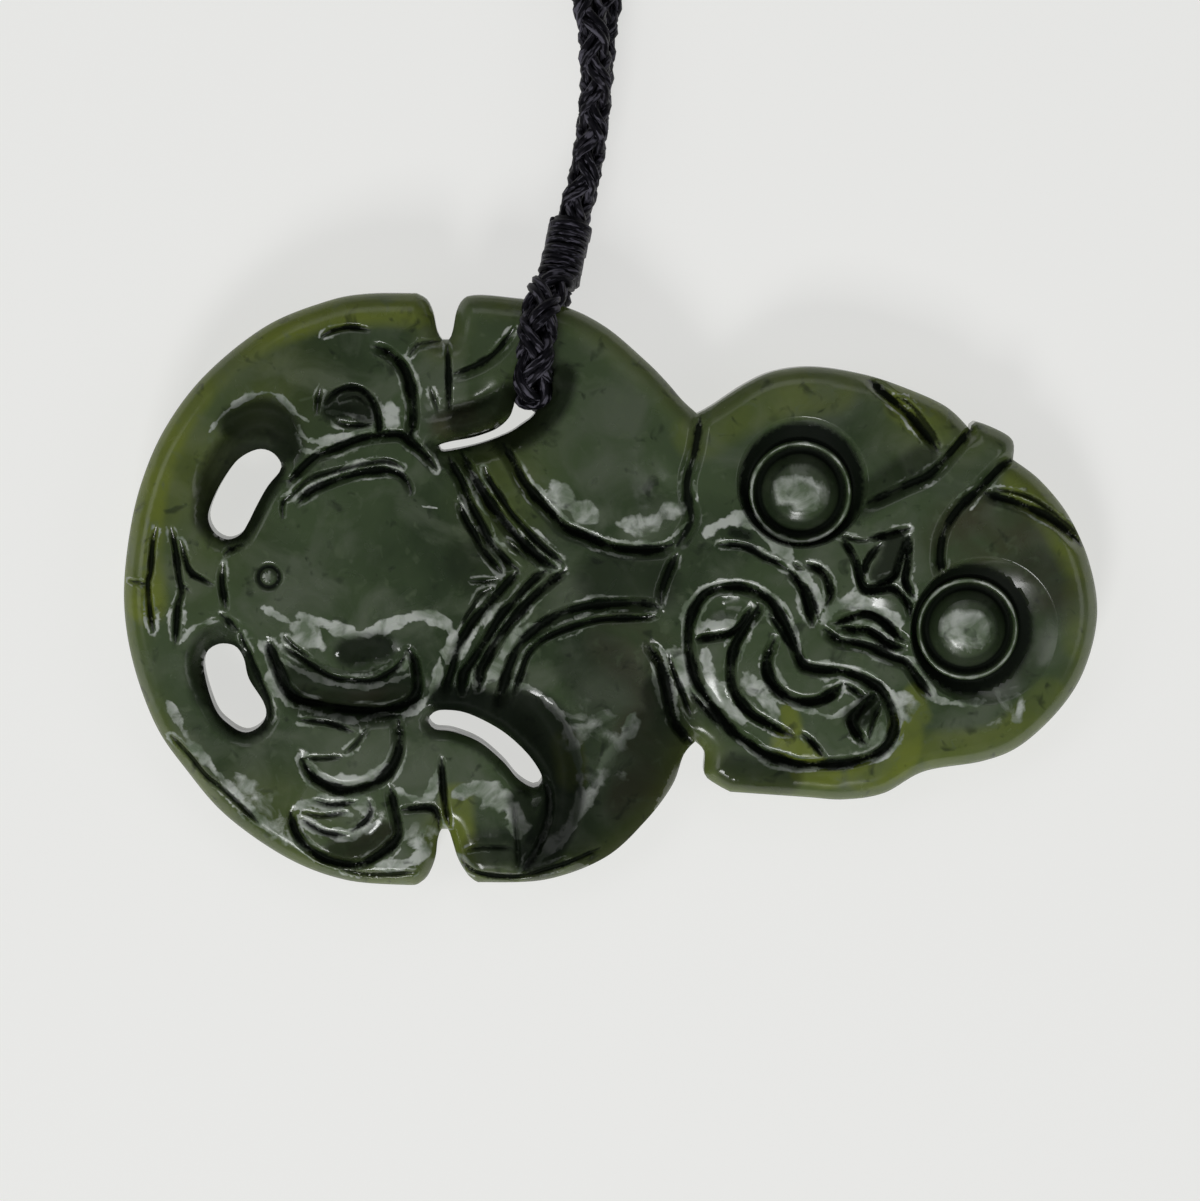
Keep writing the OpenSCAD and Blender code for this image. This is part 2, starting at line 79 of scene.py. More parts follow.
# The points of both stretches, in millimetres, between the ends that meet the whipping
BAIL_POINTS = [
    (-4.3, 23.6, 5.9), (-4.6, 23.2, 6.7), (-5, 22.6, 7.6), (-5.3, 21.7, 8.5), (-5.5, 20.5, 9.1),
    (-5.7, 19.1, 9.3), (-5.8, 17.8, 9.2), (-5.9, 16.6, 8.8), (-6, 15.6, 7.9), (-6, 15.2, 6.7),
    (-6, 15.1, 5.4), (-6, 15.1, 4.1), (-6, 15.2, 2.7), (-5.95, 15.9, 1.5), (-5.85, 17.2, 1.35),
    (-5.6, 19.6, 1.36), (-5.2, 21.2, 1.5), (-4.8, 22.2, 1.95), (-4.5, 22.8, 2.45),
]
NECK_POINTS = [
    (-2.4, 30.3, 1.4), (-1.7, 34, 1.4), (-1.1, 39, 1.4), (-0.4, 45.3, 1.4), (1.6, 52, 1.4), (5, 61, 1.4),
    (11, 75, 1.4), (20, 91, 1.4), (32, 108, 1.4), (45, 126, 1.4), (57, 145, 1.4), (66, 166, 1.4),
    (71, 188, 1.4), (72, 211, 1.4), (67, 234, 1.4), (55, 255, 1.4), (38, 270, 1.4), (17, 279, 1.4),
    (-5, 282, 1.4), (-27, 279, 1.4), (-48, 270, 1.4), (-65, 255, 1.4), (-77, 234, 1.4), (-82, 211, 1.4),
    (-81, 188, 1.4), (-76, 166, 1.4), (-67, 145, 1.4), (-55, 126, 1.4), (-42, 108, 1.4), (-30, 91, 1.4),
    (-20, 75, 1.4), (-11.5, 61, 1.4), (-4.8, 52.5, 2), (-1.8, 45.3, 3.7), (-1.2, 39, 4.1),
    (-1.65, 34, 4.13), (-2.3, 30.9, 4.2),
]
BAIL_ROUTE = [tuple(WHIP_START + FRONT_LEG), *(MM * np.array(BAIL_POINTS)), tuple(WHIP_START + REAR_LEG)]
NECK_ROUTE = [tuple(WHIP_END + REAR_LEG), *(MM * np.array(NECK_POINTS)), tuple(WHIP_END + FRONT_LEG)]
ROUTE_STEP = 0.6 * MM

# The braid: how far its strands stand out and weave in and out, the length of one lay, and the two yarns of
# each strand, which lie a gap to each side, lean outwards and sink a little into the braid
STRAND_OUT, STRAND_WEAVE, BRAID_LAY = 0.78 * MM, 0.20 * MM, 7.4 * MM
YARN_WIDTH, YARN_HEIGHT, YARN_GAP, YARN_SINK, YARN_LEAN = 0.36 * MM, 0.42 * MM, 0.29 * MM, 0.04 * MM, 0.35
YARN_SIDES = 7
# How much further along its painted highlight flecks each next yarn starts, in millimetres
FLECK_SHIFT = 9.7

# The whipping: its thread's radius, the pitch and the points of a turn, how far the turns lie outside the
# cord's own radius, and the sides of the plain core under them, which is a little smaller
THREAD_RADIUS = 0.23 * MM
WHIP_PITCH, TURN_POINTS, WHIP_OUT = 2.05 * THREAD_RADIUS, 44, 0.08 * MM
CORE_SIDES, CORE_SHARE = 40, 0.97
# The winding starts just off the plane between the legs, since a point on it would belong to neither
FIRST_ANGLE = 1e-4


def unit(v):
    """The same vectors at length one."""
    return v / np.linalg.norm(v, axis=-1, keepdims=True)


def curve(points, step, closed=False):
    """A Catmull-Rom curve through given points, cut at about the given step."""
    p = np.array(points, float)
    n = len(p)
    out = []
    for i in range(n if closed else n - 1):
        a, b, c, d = (p[k % n] if closed else p[min(max(k, 0), n - 1)] for k in (i - 1, i, i + 1, i + 2))
        count = max(1, round(np.linalg.norm(c - b) / step))
        for t in np.arange(count) / count:
            out.append(0.5 * (2 * b + (c - a) * t + (2 * a - 5 * b + 4 * c - d) * t**2
                              + (3 * b - a - 3 * c + d) * t**3))
    if not closed:
        out.append(p[-1])
    return np.array(out)


def run_along(points):
    """How far along its path each point lies."""
    return np.r_[0, np.cumsum(np.linalg.norm(np.diff(points, axis=0), axis=1))]


def evenly(points, step):
    """The same path cut into equal steps, and how far along it they lie."""
    run = run_along(points)
    at = np.linspace(0, run[-1], max(2, round(run[-1] / step) + 1))
    return np.stack([np.interp(at, run, points[:, k]) for k in range(points.shape[1])], 1), at


def carried_frames(path, across):
    """Two directions square to a path, carried along it without twist."""
    t = unit(np.gradient(path, axis=0))
    u = np.empty_like(path)
    last = np.array(across, float)
    for i, ti in enumerate(t):
        last = last - last.dot(ti) * ti
        last /= np.linalg.norm(last)
        u[i] = last
    return u, np.cross(t, u)


def new_object(name, vertices, faces, materials, uv=None):
    """A smooth-shaded mesh object in the scene, with texture coordinates for each vertex if given."""
    mesh = bpy.data.meshes.new(name)
    mesh.from_pydata([tuple(v) for v in vertices], [], faces)
    mesh.update()
    mesh.shade_smooth()
    if uv is not None:
        layer = mesh.uv_layers.new(name="UVMap")
        loops = np.empty(len(mesh.loops), int)
        mesh.loops.foreach_get("vertex_index", loops)
        layer.data.foreach_set("uv", np.asarray(uv, "f")[loops].ravel())
    for m in materials:
        mesh.materials.append(m)
    obj = bpy.data.objects.new(name, mesh)
    bpy.context.collection.objects.link(obj)
    return obj


def band(a, b, n):
    """Faces between two closed rings of n vertices, whose first vertices are numbers a and b."""
    return [(a + k, a + (k + 1) % n, b + (k + 1) % n, b + k) for k in range(n)]


def sweep(centres, side, out, width, height):
    """Vertices and faces of a yarn with an oval section: width along side, height along out."""
    n = YARN_SIDES
    last = n * (len(centres) - 1)
    angle = 2 * np.pi * np.arange(n) / n
    v = (centres[:, None] + width * np.cos(angle)[None, :, None] * side[:, None]
         + height * np.sin(angle)[None, :, None] * out[:, None]).reshape(-1, 3)
    faces = [face for start in range(0, last, n) for face in band(start, start + n, n)]
    faces += [tuple(range(n))[::-1], tuple(last + k for k in range(n))]
    return v, faces


def yarn_uv(along, shift=0):
    """Texture coordinates of a yarn: along it in millimetres, and round it from 0 to 1."""
    around = np.arange(YARN_SIDES) / YARN_SIDES
    return np.stack([np.repeat(along / MM + shift, YARN_SIDES), np.tile(around, len(along))], 1)


def braid(name, route, across, material, step=0.5 * MM, fat=1.0, wide=1.0):
    """Round braid of four strands, each two yarns side by side, that cross over and under each other."""
    path, along = evenly(curve(route, ROUTE_STEP), step)
    u, v = carried_frames(path, across)
    turn = 2 * np.pi * along / BRAID_LAY
    vertices, faces, uv, start = [], [], [], 0
    for way in (1, -1):
        for half in (0, 1):
            angle = way * turn + np.pi * half + (0 if way > 0 else np.pi / 2)
            radial = wide * np.cos(angle)[:, None] * u + np.sin(angle)[:, None] * v
            out = fat * (STRAND_OUT + way * STRAND_WEAVE * np.sin(2 * turn))
            middle = path + out[:, None] * radial
            heading = np.gradient(middle, axis=0)
            side = unit(np.cross(unit(heading), radial))
            for yarn in (-1, 1):
                lean = unit(radial + YARN_LEAN * yarn * side)
                centres = middle + yarn * fat * YARN_GAP * side - YARN_SINK * radial
                ring, quads = sweep(centres, unit(np.cross(lean, heading)), lean,
                                    fat * YARN_WIDTH, fat * YARN_HEIGHT)
                ring[:, 2] = np.maximum(ring[:, 2], 0)
                vertices.append(ring)
                faces += [tuple(start + k for k in face) for face in quads]
                uv.append(yarn_uv(along, FLECK_SHIFT * len(uv)))
                start += len(ring)
    return new_object(name, np.concatenate(vertices), faces, [material], np.concatenate(uv))


def around_legs(angle):
    """Points of the oval round both legs of the cord, and their outward directions."""
    up = np.array(WHIP_UP)
    side = np.cross(up, np.array(WHIP_AXIS))
    out = np.cos(angle)[:, None] * side + np.sin(angle)[:, None] * up
    return np.sign(np.sin(angle))[:, None] * CORD_RADIUS * up + (CORD_RADIUS + WHIP_OUT) * out, out


def whipping(name, material):
    """Thread wound round the two stacked legs, over a plain core that fills between the turns."""
    first, axis = np.array(WHIP_START), np.array(WHIP_AXIS)
    length = (WHIP_END - WHIP_START).length
    turns = int(length / WHIP_PITCH)
    angle = np.linspace(0, 2 * np.pi * turns, turns * TURN_POINTS)
    offset, out = around_legs(angle + FIRST_ANGLE)
    wobble = 0.05 * MM * np.sin(angle * 0.37 + 1.0) + 0.03 * MM * np.sin(angle * 1.93)
    height = WHIP_PITCH * angle / (2 * np.pi) + THREAD_RADIUS + 0.3 * THREAD_RADIUS * np.sin(angle / 5)
    centres = first + height[:, None] * axis + offset + wobble[:, None] * out
    ring, faces = sweep(centres, unit(axis - (axis * out).sum(1)[:, None] * out), out,
                        1.1 * THREAD_RADIUS, THREAD_RADIUS)
    core, _ = around_legs(2 * np.pi * np.arange(CORE_SIDES) / CORE_SIDES + FIRST_ANGLE)
    core_rings = [first + h * axis + CORE_SHARE * core for h in (0, length)]
    low = len(ring)
    high = low + CORE_SIDES
    faces += band(low, high, CORE_SIDES)
    faces += [tuple(range(low, high))[::-1], tuple(range(high, high + CORE_SIDES))]
    uv = np.concatenate([yarn_uv(run_along(centres)), np.zeros((2 * CORE_SIDES, 2))])
    return new_object(name, np.concatenate([ring] + core_rings), faces, [material], uv)


# materials
DEEP_GREEN = (0.029, 0.048, 0.020, 1)
MID_GREEN = (0.064, 0.096, 0.043, 1)
GREY_GREEN = (0.110, 0.136, 0.088, 1)
OLIVE = (0.158, 0.196, 0.027, 1)
BROWN = (0.050, 0.048, 0.022, 1)
PALE_FLECK = (0.110, 0.145, 0.080, 1)
DARK_FLECK = (0.008, 0.014, 0.006, 1)
# Painted shade, laid into grooves, hollows and eye sockets
HOLLOW_SHADE_GREEN = (0.002, 0.004, 0.002, 1)
# Painted highlights, from pale green to pale grey
PALE_GREY = (0.540, 0.575, 0.520, 1)
PALE_GREEN = (0.150, 0.195, 0.125, 1)
WAXED_BLACK = (0.0028, 0.0028, 0.0038, 1)
# Colours of the flecks on cord and thread: painted highlights on the yarns
CORD_GLINT = (0.105, 0.100, 0.125, 1)
THREAD_GLINT = (0.085, 0.080, 0.105, 1)


def feed(tree, target, inputs):
    """Links a node's inputs to other nodes' outputs, or sets them to plain values."""
    for key, value in inputs.items():
        if isinstance(value, bpy.types.NodeSocket):
            tree.links.new(value, target.inputs[key])
        else:
            target.inputs[key].default_value = value


def node(tree, kind, inputs=None, **settings):
    """A new node with its settings and inputs."""
    made = tree.nodes.new(kind)
    for key, value in settings.items():
        setattr(made, key, value)
    feed(tree, made, inputs or {})
    return made


def noise(tree, place, scale, detail, distortion):
    """Cloudy noise, from about 0 to 1."""
    return node(tree, "ShaderNodeTexNoise", {
        "Vector": place, "Scale": scale, "Detail": detail, "Distortion": distortion}).outputs["Fac"]


def spread(tree, value, low, high, to_low=0.0, to_high=1.0):
    """A value's stretch from low to high, spread over the range from to_low to to_high."""
    made = node(tree, "ShaderNodeMapRange", {
        "Value": value, "From Min": low, "From Max": high, "To Min": to_low, "To Max": to_high})
    return made.outputs["Result"]


def blend(tree, amount, under, over):
    """One colour over another, by an amount from 0 to 1."""
    return node(tree, "ShaderNodeMix", {"Factor": amount, 6: under, 7: over}, data_type="RGBA").outputs[2]


def combine(tree, operation, a, b, clamp=True):
    """Two values added or multiplied."""
    return node(tree, "ShaderNodeMath", {0: a, 1: b}, operation=operation, use_clamp=clamp).outputs[0]


def bumped(tree, height, strength, distance):
    """Directions of a surface roughened by a height."""
    return node(tree, "ShaderNodeBump", {
        "Height": height, "Strength": strength, "Distance": distance}).outputs["Normal"]


def node_material(name):
    """A new material, its node tree and its shader."""
    material = bpy.data.materials.new(name)
    material.use_nodes = True
    return material, material.node_tree, material.node_tree.nodes["Principled BSDF"]


def cord_material(name, colour, fleck):
    """Waxed yarn: almost black, with greyish flecks drawn out along each yarn, painted highlights on the
    yarns.
    """
    material, tree, shader = node_material(name)
    place = node(tree, "ShaderNodeTexCoord").outputs["UV"]
    drawn_out = node(tree, "ShaderNodeMapping", {
        "Vector": place, "Scale": (1.1, 6.0, 1.0), "Rotation": (0, 0, 0.25)}).outputs["Vector"]
    # Streaky noise that places the painted highlight flecks and roughens the yarn
    glint_streaks = noise(tree, drawn_out, 1.0, 2.5, 0.8)
    feed(tree, shader, {
        "Base Color": blend(tree, spread(tree, glint_streaks, 0.52, 0.62), colour, fleck),
        "Roughness": spread(tree, glint_streaks, 0.35, 0.65, 0.32, 0.62),
        "Normal": bumped(tree, glint_streaks, 0.6, 0.10 * MM),
        "Specular IOR Level": 0.16,
        "Specular Tint": (0.86, 0.82, 1.0, 1),
    })
    return material


def greenstone_material(name, gloss, smoothest, roughest):
    """Nephrite: dark green with cloudy and olive patches, the thin edges paler with a painted glow of light
    through them. The painted attribute holds olive, brown, dark and pale amounts: the dark is painted
    shade, the pale painted highlights."""
    material, tree, shader = node_material(name)
    place = node(tree, "ShaderNodeTexCoord").outputs["Object"]
    paint = node(tree, "ShaderNodeVertexColor", layer_name="paint")
    olive, brown, dark = node(tree, "ShaderNodeSeparateColor", {"Color": paint.outputs["Color"]}).outputs

    def cloud(scale, detail, low, high):
        return spread(tree, noise(tree, place, scale, detail, 0.6), low, high)

    def times(a, b):
        return combine(tree, "MULTIPLY", a, b)

    # Painted highlights: the pale amount, broken up by streaky noise
    glint_streaks = times(cloud(620, 5, 0.28, 0.72), 0.6)
    painted_gleam = combine(tree, "ADD", times(paint.outputs["Alpha"], 0.78), glint_streaks, False)
    pale = blend(tree, cloud(430, 5, 0.38, 0.60), PALE_GREEN, PALE_GREY)
    colour = DEEP_GREEN
    for amount, over in (
        (cloud(85, 6, 0.36, 0.60), MID_GREEN),
        (times(cloud(230, 6, 0.45, 0.66), 0.85), GREY_GREEN),
        (times(brown, cloud(240, 5, 0.3, 0.65)), BROWN),
        (times(olive, cloud(160, 4, 0.12, 0.55)), OLIVE),
        # painted highlights
        (spread(tree, painted_gleam, 0.60, 0.88), pale),
        (times(cloud(900, 2, 0.6, 0.75), 0.5), PALE_FLECK),
        (times(cloud(700, 2, 0.62, 0.74), 0.6), DARK_FLECK),
        # the dark amount lays painted shade over the stone
        (times(dark, 0.97), HOLLOW_SHADE_GREEN),
    ):
        colour = blend(tree, amount, colour, over)
    feed(tree, shader, {
        "Base Color": colour,
        "Roughness": spread(tree, cloud(500, 4, 0.3, 0.7), 0.0, 1.0, smoothest, roughest),
        "Normal": bumped(tree, cloud(420, 3, 0.2, 0.8), 0.25, 0.05 * MM),
        "IOR": 1.55,
        "Specular IOR Level": gloss,
        "Subsurface Weight": 0.06,
        "Subsurface Scale": 1.2 * MM,
        "Subsurface Radius": (0.6, 1.0, 0.35),
    })
    return material


def floor_material():
    material, tree, shader = node_material("pale_floor")
    feed(tree, shader, {
        "Base Color": (0.32, 0.322, 0.315, 1),
        "Emission Color": (1.0, 1.0, 0.98, 1),
        "Emission Strength": 0.625,
        "Roughness": 0.75,
        "Specular IOR Level": 0.2,
    })
    return material


# cords
black_cord = cord_material("black_cord", WAXED_BLACK, CORD_GLINT)
black_thread = cord_material("black_thread", WAXED_BLACK, THREAD_GLINT)

neck = braid("neck_braid", NECK_ROUTE, (0, 0, 1), black_cord)
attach(neck, "root")
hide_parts("neck_cord")

bail = braid("bail_braid", BAIL_ROUTE, (1, 0, 0), black_cord, step=0.3 * MM, fat=1.06, wide=1.22)
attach(bail, "root")
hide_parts("bail_loop")

bound = whipping("whipping_thread", black_thread)
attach(bound, "root")
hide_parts("whipping")

# the stone's plan, in millimetres
RIM_RUNS = {
    "arm": [(6.6, 13.5), (5.5, 14.5), (4.2, 16), (2.6, 17.6), (-0.5, 20.2), (-3.9, 21.8), (-8.5, 22.5),
     (-10.6, 22.6), (-11.4, 22.3), (-11.9, 21.4), (-12.2, 19.9), (-12.5, 19.2), (-13, 19.2), (-13.4, 19.9),
     (-13.7, 21.3), (-14.2, 22.3), (-15, 22.75)],
    "leg": [(-15, 22.75), (-18.9, 22.7), (-22, 22.1), (-26.6, 20.2), (-31.2, 16.5), (-34.3, 12.4),
     (-36.2, 8), (-37.2, 3.4), (-37.5, -1.2), (-36.8, -5.8), (-35.1, -10.5), (-32.8, -13.9), (-29.7, -17.5),
     (-25, -20.8), (-20.5, -22.5), (-15.8, -22.9), (-14.9, -22.8)],
    "elbow": [(-14.9, -22.8), (-14.2, -22.2), (-13.6, -20.8), (-13.4, -19.3), (-13.1, -18.5),
     (-12.6, -18.5), (-12.3, -19.3), (-11.8, -20.9), (-11, -22.2), (-10.3, -22.7)],
    "lower_arm": [(-10.3, -22.7), (-5.1, -22.5), (-0.5, -20.8), (2.6, -18), (4.7, -15.2), (5.6, -12.8),
     (6.5, -11.8)],
    "chin": [(6.5, -11.8), (7.2, -12.6), (7.2, -14.3), (8.1, -15.1), (9.2, -15.7)],
    "head": [(9.2, -15.7), (14.9, -16.1), (18, -16.3), (21.1, -15.8), (24.2, -14.1), (28.8, -13.3),
     (31.8, -12), (34.9, -9), (36.7, -5.8), (37.5, -1.8), (36.8, 2.2), (35.2, 5.7), (33, 8.4), (30.9, 10)],
    "crest": [(30.9, 10), (30.9, 11.4), (29.9, 12.2), (28, 12.9), (27.6, 12.3)],
    "crown": [(27.6, 12.3), (25.7, 14.1), (22.6, 15.5), (19.5, 16.5), (15.7, 17.1), (12.6, 16.8),
     (10.3, 15.8), (7.7, 14.1), (6.6, 13.5)],
}
# Piercings: width and depth of the round shoulder along their edge, then their outline, drawn clockwise
PIERCINGS = {
    "upper_leg_hole": (1.1, 1.1, [(-27.2, 10.8), (-26.1, 10.6), (-25.4, 9.8), (-25.5, 9.1), (-26.4, 8),
     (-27.2, 6.6), (-27.9, 5.2), (-28.5, 4.3), (-29.5, 3.9), (-30.5, 4.4), (-31, 5.5), (-30.7, 6.8),
     (-29.9, 8.4), (-28.7, 10)]),
    "lower_leg_hole": (1.1, 1.1, [(-31.4, -6.3), (-31.2, -4.9), (-30.2, -4.2), (-29, -4.3), (-28.3, -5.2),
     (-27.9, -6.8), (-26.8, -8.6), (-26.6, -9.7), (-27.2, -10.6), (-28.2, -11), (-29.3, -10.5),
     (-30.5, -9.2)]),
    "upper_slot": (1.3, 1.6, [(-13.3, 11.1), (-12.4, 11.4), (-10.5, 11.7), (-8.9, 12.3), (-7.9, 13.2),
     (-7.5, 14.2), (-7.2, 15.4), (-6.7, 16.2), (-5.8, 16.4), (-5.2, 15.6), (-5.3, 14.6), (-6, 13.4),
     (-6.9, 12.7), (-8, 12), (-10.1, 11.2), (-12.4, 10.7), (-13.1, 10.7)]),
    "lower_slot": (0.8, 1, [(-14.1, -10), (-13.7, -9.4), (-12.8, -9.2), (-11, -9.5), (-8.5, -10.8),
     (-6.6, -12.5), (-5.5, -14.1), (-5.4, -14.9), (-6, -15.3), (-7.2, -14.6), (-8.4, -13.2), (-10.2, -11.7),
     (-12.2, -10.9), (-13.6, -10.7)]),
}
# The front's height over the back at the rim, and how much more the belly and the face stand out
RIM_THICKNESS, BODY_RISE, HEAD_RISE = 4.6, 1.5, 1.3
BELLY_CENTRE, BELLY_REACH = (-14.5, 0.0), 22.5
FACE_CENTRE, FACE_REACH = (22.0, 0.5), 16.0
THINNEST = 1.1
BEVEL_WIDTH, BEVEL_DEPTH, BACK_CHAMFER = 1.5, 1.15, 1.0
TIP_ANGLE, TIP_HEADING = math.radians(4.15), math.radians(14)
# Eyes: centre, then centre and radius of the socket, then how far out the socket gets painted shade
EYES = [((14.5, 7.5), (14.6, 8.3), 5.0, 9.0), ((27.4, -3.0), (28.6, -3.1), 5.7, 4.9)]
# An eye's section: distance from its centre, depth
EYE_SECTION = [(0, 0.12), (0.8, 0.18), (1.6, 0.38), (2.3, 0.75), (2.7, 1.1), (3.0, 1.55), (3.3, 1.6),
               (3.5, 1.3), (3.62, 0.98), (3.75, 0.9), (3.88, 0.98), (4.0, 1.25), (4.1, 1.45)]
EYE_EDGE, EYE_DEPTH = EYE_SECTION[-1]
# Radii of an eye: the groove round its ball, the top of its raised ring, and that ring's outer side
EYE_GROOVE, EYE_RIDGE, EYE_RIM = 3.2, 3.75, 3.9
NAVEL, NAVEL_RADIUS = (-26.3, 1.1), 0.8

# the carving, in millimetres
# Each line: width of its slope to the left of its route, to the right, its depth, its route.
RIB_LINES = [
    (0.45, 0.75, 0.75, [(-12.5, 10.2), (-12, 9.3), (-11.5, 8.5), (-11, 7.1), (-10.5, 6.1), (-9.9, 5),
     (-9.4, 3.9), (-8.8, 3.2), (-7.9, 2.2), (-7.2, 1.7)]),
    (0.4, 0.5, 0.6, [(-11.7, 6.8), (-11.1, 5.3), (-10.5, 4.4), (-10, 3.4), (-9.3, 2.5), (-8.5, 1.5)]),
    (0.6, 0.8, 0.95, [(-11.5, 10.5), (-10.7, 9), (-9.8, 7.5), (-8.6, 5.8), (-7.2, 4.1), (-5.5, 2.5),
     (-4.3, 1.8)]),
    (0.4, 0.5, 0.5, [(-9.8, 9.5), (-9.3, 8.4), (-8.5, 7.2), (-7.8, 6.1), (-7, 5.2), (-5.5, 3.6),
     (-3.8, 2.2)]),
    (0.5, 0.9, 0.9, [(-8.3, 11.2), (-7.5, 9.9), (-6.8, 8.5), (-5.6, 7), (-4.5, 5.8), (-3.5, 4.8), (-2, 4.2),
     (-0.5, 3.5), (0.7, 3.2), (2.2, 3.1), (3.8, 3.2), (4.8, 3.6)]),
    (0.3, 0.3, 0.35, [(-8.1, 3.9), (-7.3, 3.2), (-6.5, 2.5)]),
    (0.5, 0.7, 0.75, [(-7.2, 1.5), (-7.8, 0.9), (-9.3, -0.8), (-10.6, -2.2), (-11.2, -3.2), (-11.8, -4.3),
     (-12.3, -6.1), (-12.6, -7), (-12.7, -7.9)]),
    (0.3, 0.3, 0.35, [(-9.2, 0.2), (-10.1, -0.2), (-10.6, -1.1), (-11.2, -2), (-11.5, -2.7)]),
    (0.6, 0.6, 0.8, [(-5.1, 1.6), (-6.2, 0.7), (-7.8, -1.1), (-8.5, -1.8), (-9.5, -3.5), (-10.8, -5.5),
     (-11.4, -6.4), (-11.5, -7.9)]),
    (0.6, 0.6, 0.9, [(-3.6, 1.5), (-4.7, 0.7), (-6.2, -0.6), (-7.8, -2.4), (-8.9, -3.9), (-9.8, -5.6),
     (-10.1, -6.2), (-10.2, -7.6)]),
    (0.9, 0.6, 0.9, [(3.5, -1.3), (2.6, -1), (-0.1, -1), (-2, -1.2), (-4.3, -1.9), (-6.2, -3.2),
     (-7.3, -4.5), (-8, -6.2), (-8.6, -8.2), (-8.8, -9)]),
    (0.4, 0.4, 0.5, [(3.4, -2), (2.2, -2.1), (-0.8, -2.2), (-3.2, -2.8), (-5.1, -3.6), (-6, -4.3),
     (-6.6, -5.2), (-7, -6.4), (-7.6, -7.9)]),
    (0.3, 0.3, 0.35, [(-10.8, 0.8), (-9.7, 0.8), (-8.7, 0.9)]),
]
MOUTH_LINES = [
    (0.7, 0.55, 0.95, [(9.8, 0.3), (8.4, 0.2), (7.3, -0.2), (6.6, -1), (6.1, -2), (5.9, -3.9), (6.1, -5.5),
     (6.5, -7), (7.3, -8.3), (8.2, -9.6), (9.5, -11.1), (10.7, -11.9), (11.8, -12.7), (13.4, -13.2),
     (14.5, -13.5), (16.2, -13.5), (18, -13.4), (19.6, -13), (20.8, -12.4), (21.5, -11.5), (21.8, -10.2),
     (21.4, -8.8), (20.7, -7.6), (20.1, -7.2), (19, -6.6), (17.6, -6.2), (16.1, -6.1), (14.8, -5.8),
     (14.4, -5.1), (13.8, -3.5), (13, -2), (12.2, -0.8), (11.1, -0.1), (9.8, 0.3)]),
    (0.55, 0.55, 1, [(11.2, -1), (11.2, -1.6), (10.4, -2.7), (9.5, -4.2), (9.2, -5.5), (9.2, -7),
     (9.7, -8.3), (10.7, -9.5), (11.8, -10.2), (13.5, -11.1)]),
    (0.5, 0.5, 0.9, [(6.5, -3.8), (8, -3.6), (9.2, -3.3), (10.1, -2.5), (10.7, -1.4)]),
    (0.3, 0.3, 0.45, [(12.1, -1.8), (12.8, -2.8), (13.5, -3.9), (14, -4.8)]),
    (0.6, 0.6, 1.1, [(12.5, -3.8), (12, -5.1), (12, -6.4), (12.6, -7.5), (13.5, -8.2), (14.7, -8.6),
     (15.9, -8.5), (17, -7.9), (17.7, -7.2)]),
    (0.35, 0.35, 0.5, [(17.8, -7.1), (18.7, -7.7), (19.5, -8.3)]),
    (0.55, 0.55, 1.1, [(20.4, -7.8), (19.7, -8.6), (18.8, -9.5), (18.5, -10.1), (18.8, -10.9),
     (19.5, -11.8)]),
    (0.35, 0.35, 0.6, [(14.7, -11.1), (15.5, -11.8), (16.4, -12.9)]),
    (0.3, 0.3, 0.45, [(11.8, -10.2), (12.8, -10.8), (13.9, -11.2)]),
    (0.3, 0.3, 0.35, [(11.1, -12.2), (12.6, -12.8), (13.9, -13)]),
    (0.3, 0.3, 0.4, [(19.8, -11.5), (20.1, -10.2), (20.7, -8.7)]),
]
CHIN_LINES = [
    (0.9, 0.6, 1.1, [(2.8, -4.3), (3.6, -5.5), (4.1, -7), (4.4, -8.5), (4.8, -10.1), (5.6, -11.2),
     (6.2, -11.9)]),
    (0.35, 0.35, 0.45, [(4.4, -5.1), (4.9, -6.6), (5.4, -7.8), (5.8, -8.9), (6.1, -9.6)]),
    (0.35, 0.35, 0.45, [(6.1, -7.8), (6.6, -8.5), (7.5, -9.5), (8.4, -10.5)]),
    (0.9, 0.9, 0.7, [(6.8, 13.2), (6.4, 10.7), (5.8, 8.4), (5.9, 6.8), (6.1, 5.3), (5, 3.4)]),
    (0.6, 0.6, 0.7, [(5, 2.8), (4.3, 1.3), (3.8, -0.2), (3.8, -1)]),
]
